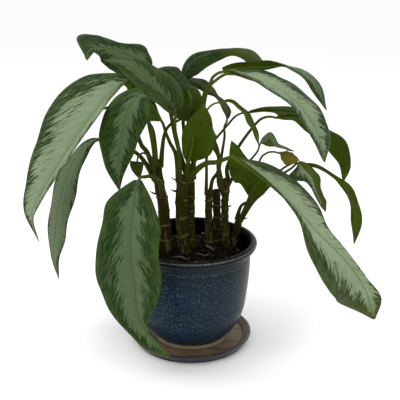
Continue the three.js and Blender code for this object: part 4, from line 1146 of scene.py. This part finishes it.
def add_stalk(shape, leaf, knots, spine):
    """The stalk from the cane to the blade, running on below the blade as its raised midrib."""
    thick, thin = leaf["radii"]
    joint = len(leaf["stalk"]) + 1
    share = np.linspace(0, 1, 14 * joint + 1)
    points, length = along_curve(knots, 0, joint, share)
    radii = thick + (thin - thick) * share + 0.35 * thick * np.exp(-share * length / 22)
    ribs, up, _, _ = spine
    rib_radii = np.maximum(0.25, thin * (1 - np.linspace(0, 1, len(ribs))) ** 0.8)
    ribs = ribs - up * (RIB_DROP * rib_radii)[:, None]
    points[-4:] -= up[0] * RIB_DROP * thin * np.array([0.2, 0.5, 0.8, 1.0])[:, None]
    line = np.vstack([points, ribs[2:]])
    rings, faces = tube(line, np.concatenate([radii, rib_radii[2:]]), STALK_SIDES)
    along = np.concatenate([share, np.ones(len(ribs) - 2)])
    shape.add(rings, faces, 2, along=np.repeat(along, STALK_SIDES))


# ---- building ----

make_pot()
make_saucer()
make_soil()
make_soil_bits()
bark_material = cane_bark()
for cane_name, cane_shape in CANES.items():
    make_cane(cane_name, cane_shape, bark_material)
leaf_materials = [upper_leaf(), under_leaf(), leaf_stalk()]
for leaf_number, (leaf_name, leaf_shape) in enumerate(LEAVES.items()):
    make_leaf(leaf_number, leaf_name, leaf_shape, leaf_materials)

# ---- stage, in metres ----

CAMERA_DISTANCE = 1.2
CAMERA_HEIGHT = 0.646
CAMERA_PITCH = 18.3
SENSOR_WIDTH = 36.0
FOCAL_PIXELS = 767.0
IMAGE_PIXELS = 400.0
CENTRE_PIXEL = 191.3
FLOOR_REACH = 30.0

camera = new_object("camera", bpy.data.cameras.new("camera"))
camera.location = (0, -CAMERA_DISTANCE, CAMERA_HEIGHT)
camera.rotation_euler = (math.radians(90 - CAMERA_PITCH), 0, 0)
camera.data.sensor_width = SENSOR_WIDTH
camera.data.lens = SENSOR_WIDTH * FOCAL_PIXELS / IMAGE_PIXELS
camera.data.shift_x = (IMAGE_PIXELS / 2 - CENTRE_PIXEL) / IMAGE_PIXELS
bpy.context.scene.camera = camera


def lamp(name, place, aim, size, power, tint):
    light = new_object(name, bpy.data.lights.new(name, "AREA"))
    light.data.shape = "DISK"
    light.data.size = size
    light.data.energy = power
    light.data.color = tint
    light.location = place
    direction = np.array(aim, float) - np.array(place, float)
    yaw = math.atan2(direction[1], direction[0]) - math.pi / 2
    pitch = math.atan2(math.hypot(direction[0], direction[1]), -direction[2])
    light.rotation_euler = (pitch, 0, yaw)


lamp("window", (-1.1, -0.5, 1.9), (0, 0, 0.3), 1.1, 16, (1.0, 0.99, 0.96))
lamp("sky", (0.9, 0.5, 1.8), (0, 0, 0.3), 1.4, 8, (0.97, 0.98, 1.0))

floor_mesh = bpy.data.meshes.new("floor")
corners = [(x * FLOOR_REACH, y * FLOOR_REACH, 0) for x, y in ((-1, -1), (1, -1), (1, 1), (-1, 1))]
floor_mesh.from_pydata(corners, [], [(0, 1, 2, 3)])
floor = new_object("floor", floor_mesh)
floor_paint = Graph("floor_paint", roughness=0.9, specular=0.1)
floor_mesh.materials.append(floor_paint.finish((960, 960, 960)))

world = bpy.data.worlds.new("studio")
bpy.context.scene.world = world
world.use_nodes = True
background = world.node_tree.nodes["Background"]
background.inputs["Color"].default_value = (1, 1, 1, 1)
background.inputs["Strength"].default_value = 1.0
bpy.context.scene.view_settings.view_transform = "Standard"
